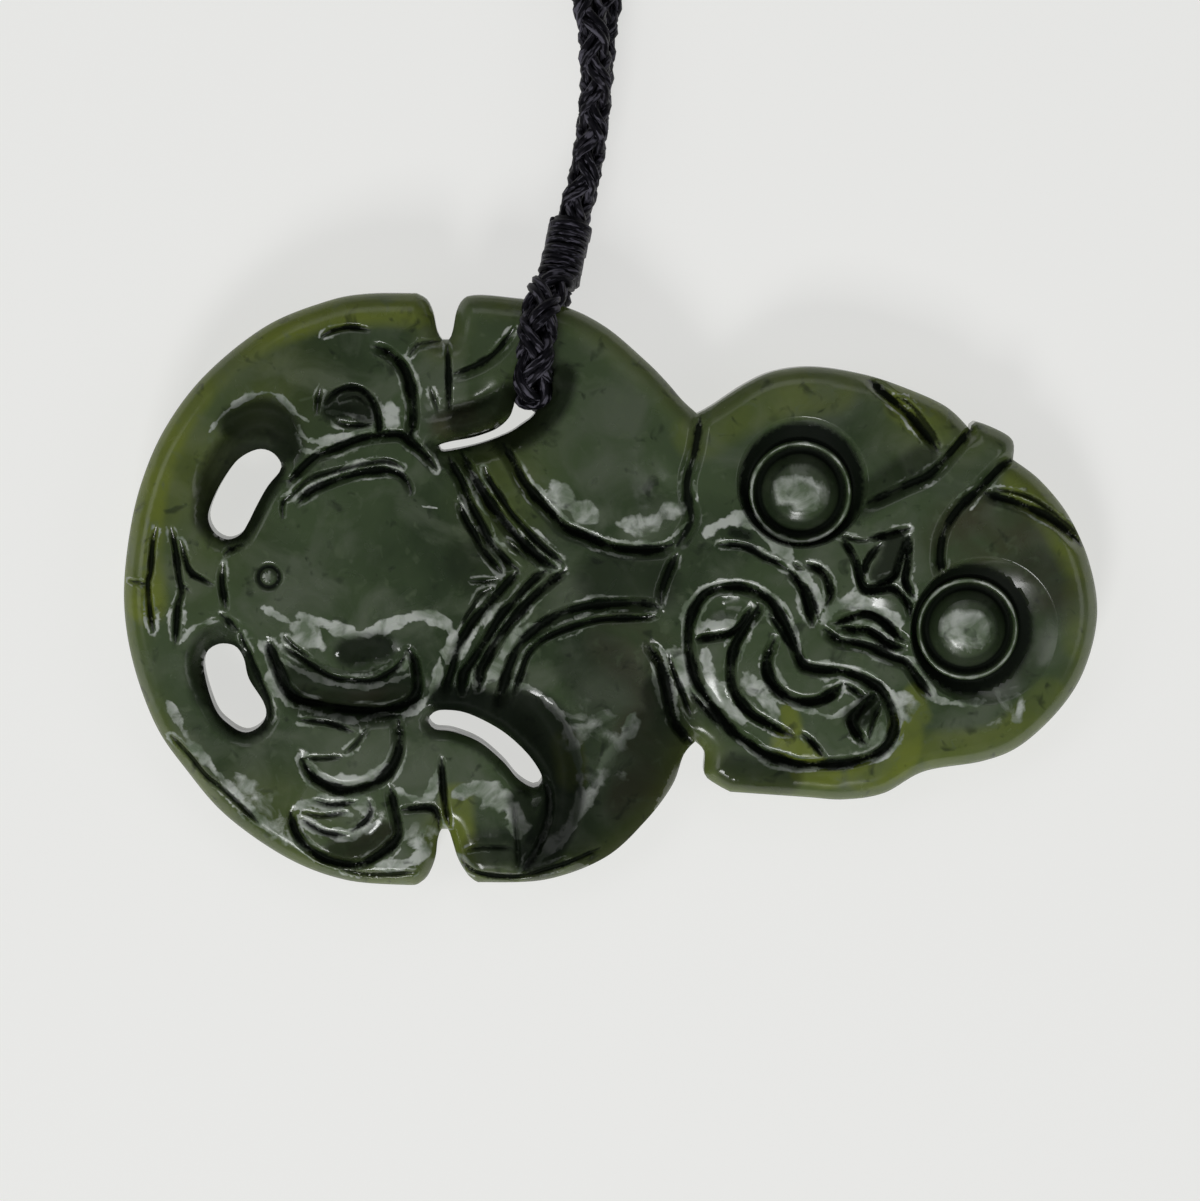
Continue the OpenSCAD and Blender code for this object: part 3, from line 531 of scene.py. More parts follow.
NOSE_LINES = [
    (0.5, 0.5, 1, [(13.5, 1.6), (14.3, 0.7), (14.8, -0.2), (15.1, -1.3), (15.4, -2.5)]),
    (0.4, 0.5, 0.9, [(15, 2), (15.8, 1.7), (16.4, 1.2), (16.7, 0.4), (16.8, -0.4), (16.5, -1)]),
    (0.3, 0.3, 0.5, [(14, 2.1), (14.3, 1.8), (14.6, 1.6)]),
    (0.3, 0.3, 0.4, [(14.5, 0.8), (15.2, -0.1), (15.6, -1.1), (15.8, -2.1)]),
    (0.4, 0.5, 0.9, [(17.7, 4), (18.3, 3.1), (18.8, 2.1), (19, 1.1), (19.4, 0.2), (20.4, 0.1), (21.5, 0.2),
     (22.2, -0.3), (22.8, -1.1), (22.9, -1.9)]),
    (0.45, 0.45, 0.9, [(19.8, 4.1), (20.7, 4.2), (21.8, 4.5), (22.8, 4.8)]),
    (0.4, 0.4, 0.7, [(20.6, 3.6), (19.9, 2.8), (19.5, 2.1), (19.2, 0.9)]),
    (0.35, 0.45, 0.9, [(22.7, 4.2), (22.4, 3.2), (22, 2.1), (21.7, 1.2), (20.7, 0.5), (19.8, 0.3)]),
    (0.4, 0.4, 0.9, [(22.8, 4.2), (22.7, 2.2), (22.5, 0.8), (23.1, -0.4)]),
    (0.25, 0.25, 0.35, [(17.3, 4.3), (18.8, 3.9), (19.8, 3.9)]),
    (0.6, 0.35, 1, [(17.2, -2.5), (18.1, -2.2), (19.3, -1.8), (20.4, -2.1), (21.2, -2.7), (21.8, -3.4),
     (22.5, -3.8)]),
    (0.35, 0.6, 1, [(17.6, -2.8), (18.6, -3), (19.6, -3), (20.5, -3.5), (21.3, -4.1), (22.4, -4.4)]),
    (0.4, 0.4, 0.5, [(8.2, 3.5), (9.5, 3.5), (10.7, 3.2), (11.6, 2.6), (12.6, 2.2), (13.5, 1.6)]),
    (0.35, 0.8, 0.9, [(16.4, -3), (17.5, -3.8), (18.8, -4), (20.2, -4.4), (21.5, -5.1), (22.6, -5.5),
     (23.5, -6.7), (24.5, -8.1)]),
]
CROWN_LINES = [
    (0.9, 0.5, 0.8, [(27.7, 12.3), (26.8, 11.5), (25.2, 9.7), (24.2, 8.8), (22.8, 8.2), (21.5, 7.6),
     (19.5, 6.7)]),
    (0.5, 0.9, 0.8, [(30.8, 10), (29.8, 9.4), (28.2, 7.8), (26.6, 6.3), (25.5, 4.5), (25.2, 2.6),
     (25.4, 1.1)]),
    (0.8, 0.6, 0.8, [(19.8, 16.1), (20.8, 15.2), (22.8, 13.5), (24.3, 11.7), (25, 10.8)]),
    (0.3, 0.3, 0.35, [(21.8, 14.9), (23, 14.2), (24.5, 12.2), (25.2, 11.1)]),
    (0.6, 0.8, 0.8, [(28.6, 7.5), (29.9, 7.1), (31.2, 6.7), (33.8, 5.5), (36.2, 3.4)]),
    (0.3, 0.3, 0.35, [(29.4, 7.8), (32, 7.2), (34.3, 5.7), (36.1, 4)]),
]
UPPER_HAND_LINES = [
    (0.35, 0.35, 0.4, [(-22.2, 19.5), (-21.5, 19.9), (-20.1, 20.2), (-18.6, 20)]),
    (0.6, 0.7, 1, [(-18.1, 18.7), (-17.2, 18.3), (-16.1, 17.3), (-15.5, 15.9), (-15.2, 13.8),
     (-15.4, 11.8)]),
    (0.35, 0.4, 0.55, [(-21.9, 14.4), (-21.1, 15.3), (-19.9, 15.6), (-18.8, 15.2), (-18, 13.9),
     (-17.8, 12.4), (-18, 11.7)]),
    (0.3, 0.3, 0.35, [(-20.8, 14.7), (-19.6, 15), (-18.5, 14.2)]),
    (0.35, 0.35, 0.5, [(-22.3, 15.5), (-22.5, 14.7), (-22.6, 13.7)]),
    (0.35, 0.35, 0.4, [(-21.2, 13), (-20.1, 12.7), (-18.4, 12.8)]),
    (0.4, 0.7, 0.8, [(-24.7, 8.4), (-23.9, 9.3), (-22.8, 10.3), (-21.6, 10.8), (-19.3, 11.7), (-17.4, 12),
     (-16.2, 12), (-15.3, 11.4), (-14.1, 10.2), (-13.5, 9.4)]),
    (0.3, 0.3, 0.35, [(-24.7, 7.1), (-23.9, 8), (-22.8, 8.8), (-20.1, 9.5), (-17.4, 10), (-16, 9.5)]),
    (0.4, 0.6, 0.65, [(-24, 6.8), (-23.2, 7.6), (-22, 8.2), (-19.7, 9), (-17.4, 9.3), (-16.1, 8.9),
     (-15.5, 8.1), (-15.4, 7.5)]),
    (0.3, 0.3, 0.4, [(-24.5, 7.4), (-25.2, 6.8), (-25.2, 5.6)]),
    (0.35, 0.35, 0.5, [(-12.6, 18.8), (-12.5, 16.5), (-12.5, 13.9)]),
    (0.3, 0.3, 0.35, [(-13.9, 15.5), (-13.6, 14.7), (-13.3, 13.8)]),
    (0.3, 0.6, 0.35, [(-15.5, 18), (-14.8, 18.9), (-13.2, 19.1)]),
    (0.3, 0.9, 0.55, [(-12.2, 16.6), (-10.2, 17.4), (-8.8, 18.4), (-7.5, 20.1)]),
]
LOWER_HAND_LINES = [
    (0.55, 0.55, 0.9, [(-26.4, -3.9), (-25.9, -5.5), (-25.2, -7.2), (-24.1, -8.4), (-22.4, -8.8),
     (-20.1, -9.2), (-17.4, -9.2), (-15.5, -8.5), (-14.9, -7.4), (-15.1, -5.5), (-15.6, -4.5)]),
    (0.35, 0.35, 0.4, [(-25.1, -4.3), (-23.9, -5.1), (-21.6, -6.5), (-20.1, -6.8), (-18.2, -6.8),
     (-16.5, -5.8), (-15.8, -4.8)]),
    (0.35, 0.35, 0.4, [(-23.9, -9.9), (-21.6, -10.2), (-19.9, -10.8)]),
    (0.35, 0.35, 0.35, [(-19.2, -9.7), (-17.8, -9.7), (-16.2, -9.6)]),
    (0.6, 0.8, 1, [(-16.4, -9.9), (-16.3, -11.2), (-16.4, -12.4), (-16.8, -13.4), (-17.4, -14.2),
     (-18.4, -14.9), (-20.6, -15.4), (-22.8, -14.5), (-23.9, -12.9)]),
    (0.3, 0.3, 0.35, [(-20.5, -12.4), (-19.7, -11.8), (-18.8, -10.5)]),
    (0.3, 0.3, 0.35, [(-23.7, -12.9), (-22.4, -12.9), (-20.8, -12.8)]),
    (0.5, 0.7, 0.85, [(-17, -15.3), (-16.5, -17.8), (-16.4, -18.8), (-16.8, -19.5), (-17.6, -20.2),
     (-19.5, -21.2), (-22, -20.8), (-23.8, -19.5), (-24.5, -18.2), (-24.7, -17.1)]),
    (0.35, 0.35, 0.45, [(-22.8, -16.2), (-21.6, -16.5), (-19.8, -16.3)]),
    (0.3, 0.3, 0.35, [(-23.7, -17.1), (-22.4, -17.4), (-20.4, -17.1)]),
    (0.4, 0.4, 0.5, [(-18.7, -16.2), (-18.5, -16.8), (-18.8, -17.6), (-19.9, -18.5)]),
    (0.35, 0.35, 0.4, [(-23.9, -17.6), (-23, -18.2), (-22, -18.7), (-20.4, -18.9)]),
    (0.4, 0.5, 0.6, [(-16.2, -16.9), (-14.3, -16.7), (-13.5, -17), (-13.3, -18.5)]),
    (0.4, 0.4, 0.6, [(-13.1, -12.9), (-12.9, -15.8), (-12.5, -18.2)]),
    (0.4, 0.5, 0.6, [(-26.1, -3.9), (-25.8, -5.1), (-25.2, -6.2), (-24.7, -7.4), (-23.9, -8.3),
     (-22.4, -9)]),
    (0.4, 0.5, 0.5, [(-28.2, -3.9), (-27.6, -5.5), (-26.4, -8.5), (-26.2, -9.8)]),
    (0.3, 0.3, 0.35, [(-25.1, -3.5), (-24.3, -4.3), (-23.1, -5.2)]),
]
FOOT_LINES = [
    (0.35, 0.35, 0.45, [(-34.9, 4.8), (-35.2, 3.8), (-35.4, 1.5), (-35.6, 0.5), (-35.4, -2),
     (-35.2, -3.1)]),
    (0.4, 0.4, 0.5, [(-33.8, 4.8), (-33.5, 3.4), (-33.2, 1.1), (-33, -0.1), (-33.3, -1.2), (-33.5, -4)]),
    (0.35, 0.35, 0.45, [(-33.1, 3.8), (-32.4, 1.6), (-31.6, 1), (-30.6, 0.5)]),
    (0.3, 0.3, 0.4, [(-37, 0.7), (-35.9, 0.6)]),
    (0.4, 0.5, 0.55, [(-29.8, 2), (-29.9, 0.7), (-29.6, -1.3)]),
    (0.5, 0.5, 0.6, [(-29.7, 2.8), (-29.2, 3.2), (-28.5, 3.5)]),
    (0.4, 0.4, 0.6, [(-36.2, 0.5), (-35.5, 0.5)]),
    (0.4, 0.4, 0.6, [(-33.1, 0.5), (-32.5, 0.1)]),
    (0.5, 0.5, 0.6, [(-30, -1.8), (-28.7, -3)]),
    (0.4, 0.4, 0.6, [(-28.5, -3.2), (-28.2, -4.4)]),
    (0.3, 0.3, 0.35, [(-33.9, -11.2), (-32.4, -12.8), (-31.2, -14.3), (-29.7, -15.5), (-27.2, -17.9)]),
]
ELBOW_LINES = [
    (0.5, 0.4, 0.6, [(-5.1, -14.7), (-4.8, -15.5), (-4.8, -17.4), (-5.6, -19.7), (-6.8, -21.8)]),
    (0.3, 0.3, 0.35, [(-7.5, -16.6), (-7.2, -20.1), (-7.2, -21.5)]),
    (0.3, 0.3, 0.35, [(-11.2, -20.1), (-10.1, -19.8), (-7.6, -19.9)]),
    (0.3, 0.3, 0.35, [(-20.8, -21.6), (-18.5, -22), (-15.1, -21.8)]),
    (0.3, 0.3, 0.4, [(-11.6, -20.8), (-10.5, -21.8), (-7.4, -22.2), (-5.1, -21.6), (-3.2, -21),
     (-0.8, -19.9)]),
]
# Broad cuts, in the same form: coves with a straight slope, and hollows that start and end softly
COVES = [
    (3.4, 0.5, 0.4, [(-6.2, 8.5), (-5.6, 7.2), (-4.5, 5.9), (-3.5, 4.9), (-2, 4.2), (-0.5, 3.5), (0.7, 3.2),
     (2.2, 3.2), (3.8, 3.3), (5.3, 4.1)]),
    (3.6, 0.5, 0.25, [(-26.8, -3.9), (-25.1, -4.4), (-23.2, -5.2), (-21.2, -5.9), (-19.3, -6.2),
     (-17.4, -5.6), (-15.8, -4.5), (-14.3, -3.5), (-12.8, -2.4)]),
    (1.3, 0.3, 0.5, [(15.5, -0.8), (15.2, 0.1), (14.5, 1.1)]),
    (0.3, 1.3, 0.55, [(22.6, -2.8), (21.5, -2.1), (20.1, -1.5), (18.4, -1.2), (17.1, -1.8)]),
    (2.2, 0.25, 2.3, [(-7.6, 14.2), (-8.2, 13.3), (-8.9, 12.5), (-9.7, 12.1), (-10.8, 11.8), (-12, 11.6),
     (-13.2, 11.5)]),
]
HOLLOWS = [
    (1.6, 2.2, 1.2, [(-31, 6.5), (-30.7, 8.5), (-29.7, 10.5), (-28.3, 11.9), (-26.8, 12.5), (-25.5, 11.8),
     (-25, 10.3)]),
    (1.5, 1.8, 1.1, [(-31.2, -7.8), (-31.5, -5.8), (-31.2, -4.3), (-30.1, -3.3), (-28.5, -3.6)]),
    (1.6, 1.6, 1.2, [(-24.8, -7.8), (-23.2, -8.5), (-21.6, -8.9), (-19.7, -9.2), (-17.8, -9.2),
     (-15.8, -8.7), (-14.8, -7.9)]),
    (1.5, 1.9, 0.8, [(-19.9, -5.1), (-18.5, -5.3), (-17, -4.8)]),
    (1.6, 1, 0.8, [(-14.3, 13.6), (-12.4, 14.2), (-10.5, 14.7), (-8.5, 15.6)]),
    (1.7, 3, 1.1, [(-7.2, -8.5), (-5.6, -9.8), (-4.5, -11.5), (-3.9, -13.5), (-3.8, -15.8), (-4.2, -18.2),
     (-5.5, -20.2)]),
    (1, 1, 0.5, [(-21.6, 14.2), (-20.1, 14.4), (-18.7, 14.1)]),
    (1.1, 1.1, 0.6, [(-20.5, -19.7), (-18.7, -18.9), (-17.8, -17.8)]),
    (1.3, 1.3, 0.7, [(7.2, -1.8), (8.5, -1.3), (10.1, -1.3)]),
    (1.2, 1.2, 0.6, [(19.8, -9.5), (20.7, -8.8)]),
    (1.4, 2, 0.6, [(6.8, -7), (8.4, -8.9), (10.3, -10.7)]),
    (2, 2.6, 0.5, [(2.2, 9.9), (3.8, 7.6), (4.4, 5.3)]),
]
COVE_POWER, COVE_RUN_OUT, HOLLOW_RUN_OUT = 1.2, 3.5, 2.5
# The painted highlight on the lip at each side of a line's bottom, which gets painted shade: how far off it
# lies, and its half width
LIP_AWAY, LIP_WIDTH = 0.24, 0.12
# Colour along a route: half width, amount, route. The dark routes are painted shade in recesses, on slopes
# down into the piercings and under the cord.
PAINTED_SHADES = [
    (1, 0.95, [(-12.8, -8.3), (-10.1, -8.7), (-7.8, -9.8), (-6.1, -11.5), (-5.1, -13.5)]),
    (1.5, 0.93, [(-7.4, -9.2), (-5.5, -10.1), (-4.2, -12), (-3.7, -14.3), (-3.8, -16.6), (-4.5, -18.7),
     (-5.8, -20.5)]),
    (0.8, 0.8, [(-7, -16.2), (-6.6, -18.2), (-6.8, -20.1)]),
    (1, 0.75, [(3.4, -7.8), (3.9, -9.7), (4.7, -11.2)]),
    (2.2, 0.7, [(3.6, -11.2), (2.2, -13.9), (0.7, -17), (-1.2, -19.2)]),
    (1.6, 0.55, [(-0.8, 0.9), (3.2, 0.5)]),
    (0.9, 0.8, [(-8.2, 11.6), (-6.5, 12.2), (-5.1, 13.5), (-4.2, 14.8), (-3.8, 16.4)]),
    (0.9, 0.8, [(-11.5, 13), (-9.7, 13.7), (-7.9, 14.8)]),
    (0.9, 0.55, [(-31.2, -7.8), (-31.4, -5.8), (-31, -4.3), (-29.9, -3.5)]),
    (1.1, 0.75, [(-30.7, 5.7), (-30.4, 8), (-29.2, 10.3), (-27.4, 11.8)]),
    (1.1, 0.85, [(-28.7, 12.7), (-26.8, 13.5), (-25.5, 12.7), (-25, 11.1)]),
    (1.6, 0.35, [(30.7, -0.1), (32.6, 1.1), (34.2, -0.8)]),
    (0.7, 0.8, [(21.8, 3.8), (21.3, 2.2), (20.7, 1.3)]),
    (1, 0.6, [(18.8, 6.8), (21.5, 8.4), (23.8, 9.9)]),
    (1.3, 0.75, [(-23.9, -7), (-21.6, -8.2), (-18.9, -8.5), (-16.2, -7.8)]),
    (1.1, 0.6, [(-10.1, -20.1), (-8.2, -19.8)]),
    (0.9, 0.85, [(-21.2, 14.1), (-19.9, 14.4), (-18.8, 13.8)]),
    (1, 0.6, [(9.5, -13.9), (11.5, -14.3), (13.4, -14.5)]),
    (0.8, 0.85, [(18.8, -9.8), (19.3, -9.5), (19.8, -8.8)]),
    (0.4, 0.85, [(-31, -4.7), (-30.3, -4.1), (-29.4, -4.2), (-28.5, -4.8), (-28, -5.8), (-27.7, -7),
     (-27.1, -8.2), (-26.5, -9.3), (-26.8, -10.4), (-27.8, -10.9), (-29, -10.7), (-30, -9.7), (-30.8, -8.3),
     (-31.2, -6.8), (-31.2, -5.6), (-31, -4.7)]),
    (0.4, 0.85, [(-29.9, 4.2), (-30.8, 5.1), (-30.9, 6.2), (-30.5, 7.6), (-29.7, 9.2), (-28.8, 10.5),
     (-27.8, 11), (-26.5, 10.8), (-25.6, 10.3), (-25.5, 9.4), (-26, 8.2), (-26.8, 6.8), (-27.5, 5.3),
     (-28.5, 4.2), (-29.3, 3.9), (-29.9, 4.2)]),
    (0.9, 0.85, [(-20.1, -4.7), (-17.8, -4.3)]),
    (0.7, 0.6, [(-21.2, -20.1), (-19.2, -19.8), (-17.6, -18.7)]),
    (0.3, 0.8, [(9.3, 4.5), (10.4, 4.2)]),
    (0.45, 0.85, [(-3.4, 16.5), (-3.8, 14.8), (-4.7, 13.3), (-6.1, 12.2), (-7.9, 11.4)]),
    (2, 0.36, [(-1.6, -5.5), (0.3, -8.5), (0.1, -12)]),
    (1.5, 0.4, [(-10.8, 2.2), (-9.3, 0.7)]),
]
# Painted highlights along routes, on slopes and lips that face the light, in the same form
PAINTED_HIGHLIGHTS = [
    (2.2, 0.42, [(-2.8, -8.5), (-1.6, -10.5), (-0.7, -12), (-1.5, -14.3)]),
    (0.5, 0.75, [(1.8, -9.5), (1.3, -11), (0.1, -12.5), (-0.8, -14.3), (-2, -16.2), (-3.5, -18.5),
     (-5.1, -20.5)]),
    (0.3, 0.95, [(-7.2, -7.2), (-5.8, -7.7), (-4.7, -8.8), (-3.8, -9.9), (-2.9, -11.8), (-2.5, -13.9),
     (-2.4, -16.2), (-2.8, -17.9), (-4.1, -19.5), (-5.5, -20.7), (-6.8, -21.5)]),
    (0.2, 0.95, [(-5, -15.1), (-4.7, -16.2), (-4.9, -18.2), (-5.8, -20.1), (-6.8, -21.6)]),
    (0.75, 0.95, [(-12, -15.7), (-10.2, -15.2), (-8.8, -15.9), (-7.7, -16.7), (-7.2, -17.9),
     (-7.2, -18.9)]),
    (1.3, 0.4, [(-10.8, -17.4), (-8.5, -17.9)]),
    (0.5, 0.95, [(7.1, 4.2), (8, 4.9), (9.5, 5.6), (10.7, 5.2), (11.8, 4.3), (13, 3.4), (13.8, 2.4)]),
    (0.2, 0.85, [(8.5, 3.7), (10.3, 3.5), (11.5, 3.1), (12.7, 2.4)]),
    (0.38, 0.95, [(14.4, 1.4), (15.2, 0.7), (15.7, -0.2), (15.9, -1.6)]),
    (0.18, 0.8, [(15.2, 2.4), (16.2, 2.1), (17, 1.1), (17.3, -0.1)]),
    (0.5, 1, [(16.2, -2.4), (17.2, -1.2), (18.4, -0.8), (19.5, -1), (20.7, -1.6), (22.2, -2.5)]),
    (0.18, 0.9, [(17.5, -2.5), (19.3, -2.4), (20.5, -3.2), (21.6, -3.7)]),
    (0.22, 0.9, [(17, -3.3), (18.4, -3.8), (19.8, -4), (21.3, -4.7), (22.6, -5.2), (23.4, -5.5)]),
    (0.3, 0.9, [(22.6, -5.1), (23.4, -5.7), (24.2, -7), (24.9, -8.5)]),
    (0.65, 0.9, [(4.4, -4.7), (5.2, -5.1), (5.5, -6.4), (6.2, -7.9)]),
    (0.2, 0.95, [(3.8, -4.3), (4.3, -6.4), (4.8, -8.5), (5.2, -10.1)]),
    (0.6, 0.95, [(7.2, -4.7), (7.5, -6.2), (8.1, -7.8), (9.2, -9.2), (10.1, -10.2)]),
    (0.55, 0.75, [(10.2, -6.4), (10.8, -7.5), (11.8, -8.5), (12.7, -9.6)]),
    (0.2, 0.95, [(11.8, -7.2), (13, -8.2), (14.5, -9), (16.1, -9.5), (17, -9.8), (18.4, -8.9), (19.8, -8)]),
    (0.5, 0.95, [(6.6, -3.2), (7.3, -2.5), (8, -2.8), (9.2, -2.5)]),
    (0.6, 0.6, [(19.2, -12), (20.5, -11.2), (20.7, -10.1)]),
    (0.8, 0.6, [(21.6, -7.8), (22.5, -8.7), (22.8, -9.9)]),
    (0.3, 0.8, [(24.2, -7.8), (25.3, -8.5), (27.2, -8.7), (28.8, -8.5)]),
    (0.2, 0.9, [(-30.8, 12.2), (-29.9, 13.4), (-28.7, 14.4), (-27.4, 15), (-26.2, 15.2), (-25.2, 14.7),
     (-24.3, 13.7), (-23.2, 13)]),
    (0.3, 0.95, [(-24, 12.7), (-23.3, 11.6), (-22.2, 11.5), (-20.5, 11.8), (-18.4, 12.5)]),
    (0.25, 0.95, [(-24.2, 12.1), (-23.6, 10.8), (-22.5, 10.7)]),
    (0.25, 0.95, [(-21.8, 13.7), (-20.2, 13.6), (-18.6, 13)]),
    (0.7, 0.95, [(-16.9, 14.3), (-16.8, 12.2)]),
    (0.22, 0.75, [(-23.8, 7.5), (-21.6, 8.8), (-18.8, 9.9), (-17, 9.8), (-15.8, 8.8)]),
    (0.2, 0.85, [(-33.1, -4), (-32, -2.7), (-30.2, -2.3)]),
    (0.35, 0.9, [(-26.7, -1.2), (-25.7, -1.8), (-24.7, -2.4)]),
    (0.95, 0.85, [(-24.2, -2.8), (-23, -3.6), (-22.1, -4.3)]),
    (0.45, 0.95, [(-23.9, -1.8), (-20.8, -2.9), (-19.2, -3.3), (-17, -2.5), (-14.7, -1.9), (-13.2, -2.2),
     (-12.2, -3.2), (-12.4, -4.5), (-12.6, -5.5)]),
    (0.22, 0.95, [(-25.4, -5.2), (-23.9, -6.1), (-21.6, -7), (-19.3, -7.3), (-17.2, -7), (-15.6, -6.4)]),
    (0.35, 0.9, [(-16.5, -6.1), (-15.7, -5.5), (-15.6, -4.7)]),
    (0.5, 0.95, [(-27, -3.9), (-26.3, -4.8), (-26, -6.4), (-25.4, -7.8), (-24.6, -8.8)]),
    (0.22, 0.9, [(-23.9, -8.9), (-22.4, -9.5), (-20.5, -9.9), (-19.5, -10.2), (-19.2, -10.8)]),
    (0.2, 0.8, [(-19.2, -9.9), (-17.8, -9.6), (-16.4, -9.5)]),
    (0.5, 0.95, [(-23.3, -13.3), (-22.4, -14.3), (-20.5, -14.8), (-18.5, -14.3), (-17.3, -13.5)]),
    (0.45, 0.95, [(-22.5, -15.8), (-21.2, -16.2), (-19.6, -16.2), (-18.7, -16.9), (-18.8, -17.8),
     (-19.7, -18.4)]),
    (0.4, 0.95, [(-24.3, -16.8), (-23.2, -16.3), (-21.6, -16.8), (-20.1, -17.2)]),
    (0.42, 0.95, [(-23.8, -17.8), (-22.4, -18.5), (-20.5, -18.9), (-18.8, -18.6), (-17.8, -17.7)]),
    (0.35, 0.95, [(-16.5, -15.2), (-15.5, -15.9), (-14.5, -16.1), (-13.8, -15.4), (-13.5, -13.8)]),
    (1.2, 0.6, [(-15.2, -17.9), (-14.4, -19.7)]),
    (0.5, 0.8, [(-17.8, -21.3), (-15.5, -21), (-13.9, -19.8)]),
    (0.3, 0.8, [(-15.8, -9.5), (-14.8, -8.9), (-13.9, -7.8), (-13.4, -6.6), (-13.2, -5.1)]),
    (0.3, 0.7, [(-12, -5.5), (-10.8, -3.5), (-9.3, -1.6), (-8.4, -0.8)]),
    (0.2, 0.7, [(-10.6, -7.8), (-10.2, -6.2), (-9.2, -4.3), (-7.6, -2.4), (-6.2, -1.1)]),
    (0.45, 0.75, [(-9.3, -7), (-8.7, -5.5), (-7.4, -3.7), (-5.5, -2.5)]),
    (0.25, 0.7, [(-10.8, 9.2), (-9.7, 7.2), (-8.2, 5.3), (-6.4, 3.5), (-5.1, 2.5)]),
    (0.2, 0.6, [(-12.2, 8.4), (-11.2, 6.4), (-9.9, 4.5), (-8.8, 3.2)]),
    (0.35, 0.68, [(-34.1, -8.5), (-32.4, -11.6), (-30.5, -13.9), (-28.3, -16.4), (-26.2, -18.4),
     (-23.2, -20.1)]),
    (1, 0.42, [(-28.9, -14.3), (-26.8, -16.6), (-24.3, -19.5)]),
    (0.15, 1, [(-14.4, 6.5), (-13.4, 6.4)]),
    (0.85, 0.85, [(-4.5, 8.1), (-3.2, 6.7), (-1.3, 5.5)]),
    (0.7, 0.6, [(0.5, 5.2), (2.8, 5), (4.4, 6.1), (5.6, 6.4)]),
    (0.16, 0.95, [(-6.4, 8.8), (-4.8, 6.8), (-3.3, 5.4), (-0.8, 4.2), (2.2, 3.6), (4.1, 3.8), (5.8, 5.2)]),
    (1.6, 0.45, [(28.8, -7.8), (31.1, -9.5)]),
    (0.15, 0.95, [(5.5, -4.7), (5.5, -2.8), (5.9, -1.2), (6.8, -0.1), (8.2, 0.7), (9.8, 0.8), (11.2, 0.5),
     (12.4, -0.5), (13.3, -1.8), (14.2, -3.5), (14.6, -5), (15.2, -5.5), (16.8, -5.6), (18.5, -6),
     (20.1, -6.6), (21.2, -7.5), (22, -8.7), (22.2, -10.2), (21.9, -11.7), (21.2, -12.6), (19.8, -13.2),
     (18, -13.6), (15.7, -13.8), (13.8, -13.7), (12.1, -13.2), (10.8, -12.5), (9.6, -11.5), (8.3, -10.1),
     (7.2, -8.7), (6.3, -7.2), (5.8, -5.6)]),
]
OLIVE_STAINS = [
    (0.55, 0.9, [(13.6, -9.4), (14, -10.7)]),
    (0.7, 0.95, [(13.2, -11.8), (14.5, -12.5), (15.7, -13.6)]),
    (0.7, 0.95, [(14.7, -14.2), (17, -14.5)]),
    (1, 0.95, [(22.7, -10.7), (22.7, -12.4), (21.5, -13.8), (19.3, -14.4)]),
    (0.6, 0.7, [(23.2, -7.9), (23.8, -9.7)]),
    (0.9, 0.8, [(-3.5, -12), (-3.1, -14.3)]),
    (1, 0.8, [(-11.8, -19.3), (-12, -16.2)]),
    (1.3, 0.8, [(22.6, 14.5), (24.9, 12.6)]),
    (1.4, 0.95, [(-36, -0.8), (-36.2, 3.8), (-35.3, 9), (-33.3, 13.6), (-30.2, 17.5), (-26.4, 20.2),
     (-22.4, 21.7), (-17.8, 22.2), (-14.5, 22)]),
    (1.5, 0.9, [(31.8, 8.4), (34.5, 6.1), (36.5, 2.2)]),
    (1.5, 0.6, [(36.8, -0.1), (36.7, -3.9)]),
    (1.3, 0.6, [(33.8, -8.5), (29.9, -12), (25.3, -12.5)]),
    (1.6, 0.5, [(6.8, 12.2), (11.5, 14.9), (16.8, 15.7)]),
]
# Brown in the same form: the stone's own on the forehead and by the chin and neck, and painted brownish
# shade along the hollows by the upper slot and the lower hand
BROWN_TINTS_AND_SHADES = [
    (0.9, 0.9, [(-12.8, 12.5), (-10.8, 13.2), (-8.5, 14.2)]),
    (0.6, 0.9, [(-23.5, -7.8), (-20.1, -8.4), (-16.2, -7.9)]),
    (0.8, 0.9, [(-21.6, -19.9), (-19.3, -19.7), (-17.8, -18.7)]),
    (2.4, 0.8, [(26.8, 3.8), (29.9, 4.5), (33, 1.5)]),
    (2, 0.6, [(0.7, -3.9), (3, -5.5), (4.2, -7.8)]),
    (1.5, 0.8, [(2.2, -10.8), (3.8, -13.2), (1.5, -16.2)]),
]
PAINT_ROUTES = {"dark": PAINTED_SHADES, "pale": PAINTED_HIGHLIGHTS, "olive": OLIVE_STAINS, "brown": BROWN_TINTS_AND_SHADES}
# Olive patches: centre, reach along X and Y, amount
OLIVE_PATCHES = [(-33.5, 9.5, 5, 7, 0.5), (-28, 16, 5, 4, 0.45), (26, 13, 4, 2.5, 0.6),
                 (-26, -17, 5, 3, 0.3), (-8, 9, 3, 6, 0.35)]
# How dark the walls of the pierced openings are, where polish and light don't reach
PIERCED_WALL_DARK = 0.85
# Above this much painted shade, a face is the bottom of a groove and gets the unpolished material
UNPOLISHED = 0.55
FINE_LINES = (RIB_LINES + MOUTH_LINES + CHIN_LINES + NOSE_LINES + CROWN_LINES + UPPER_HAND_LINES
              + LOWER_HAND_LINES + FOOT_LINES + ELBOW_LINES)

# How far apart the points of the front and back lie, and how far the rows along their edges lie from them
FRONT_SPACING, FRONT_ROWS = 0.34, (0.2, 0.45, 0.75, 1.1, 1.6)
BACK_SPACING, BACK_ROWS = 1.6, (0.3, 0.6, 0.95)
RIM_STEP, HOLE_STEP, LINE_STEP = 0.36, 0.3, 0.35
# The grid is of even triangles, whose height is this share of their side
TRIANGLE_HEIGHT = 0.87
# How close two points of the front may lie, and points to the rim and to a hole
FINEST, RIM_CLEARANCE, HOLE_CLEARANCE = 0.11, 0.12, 0.1
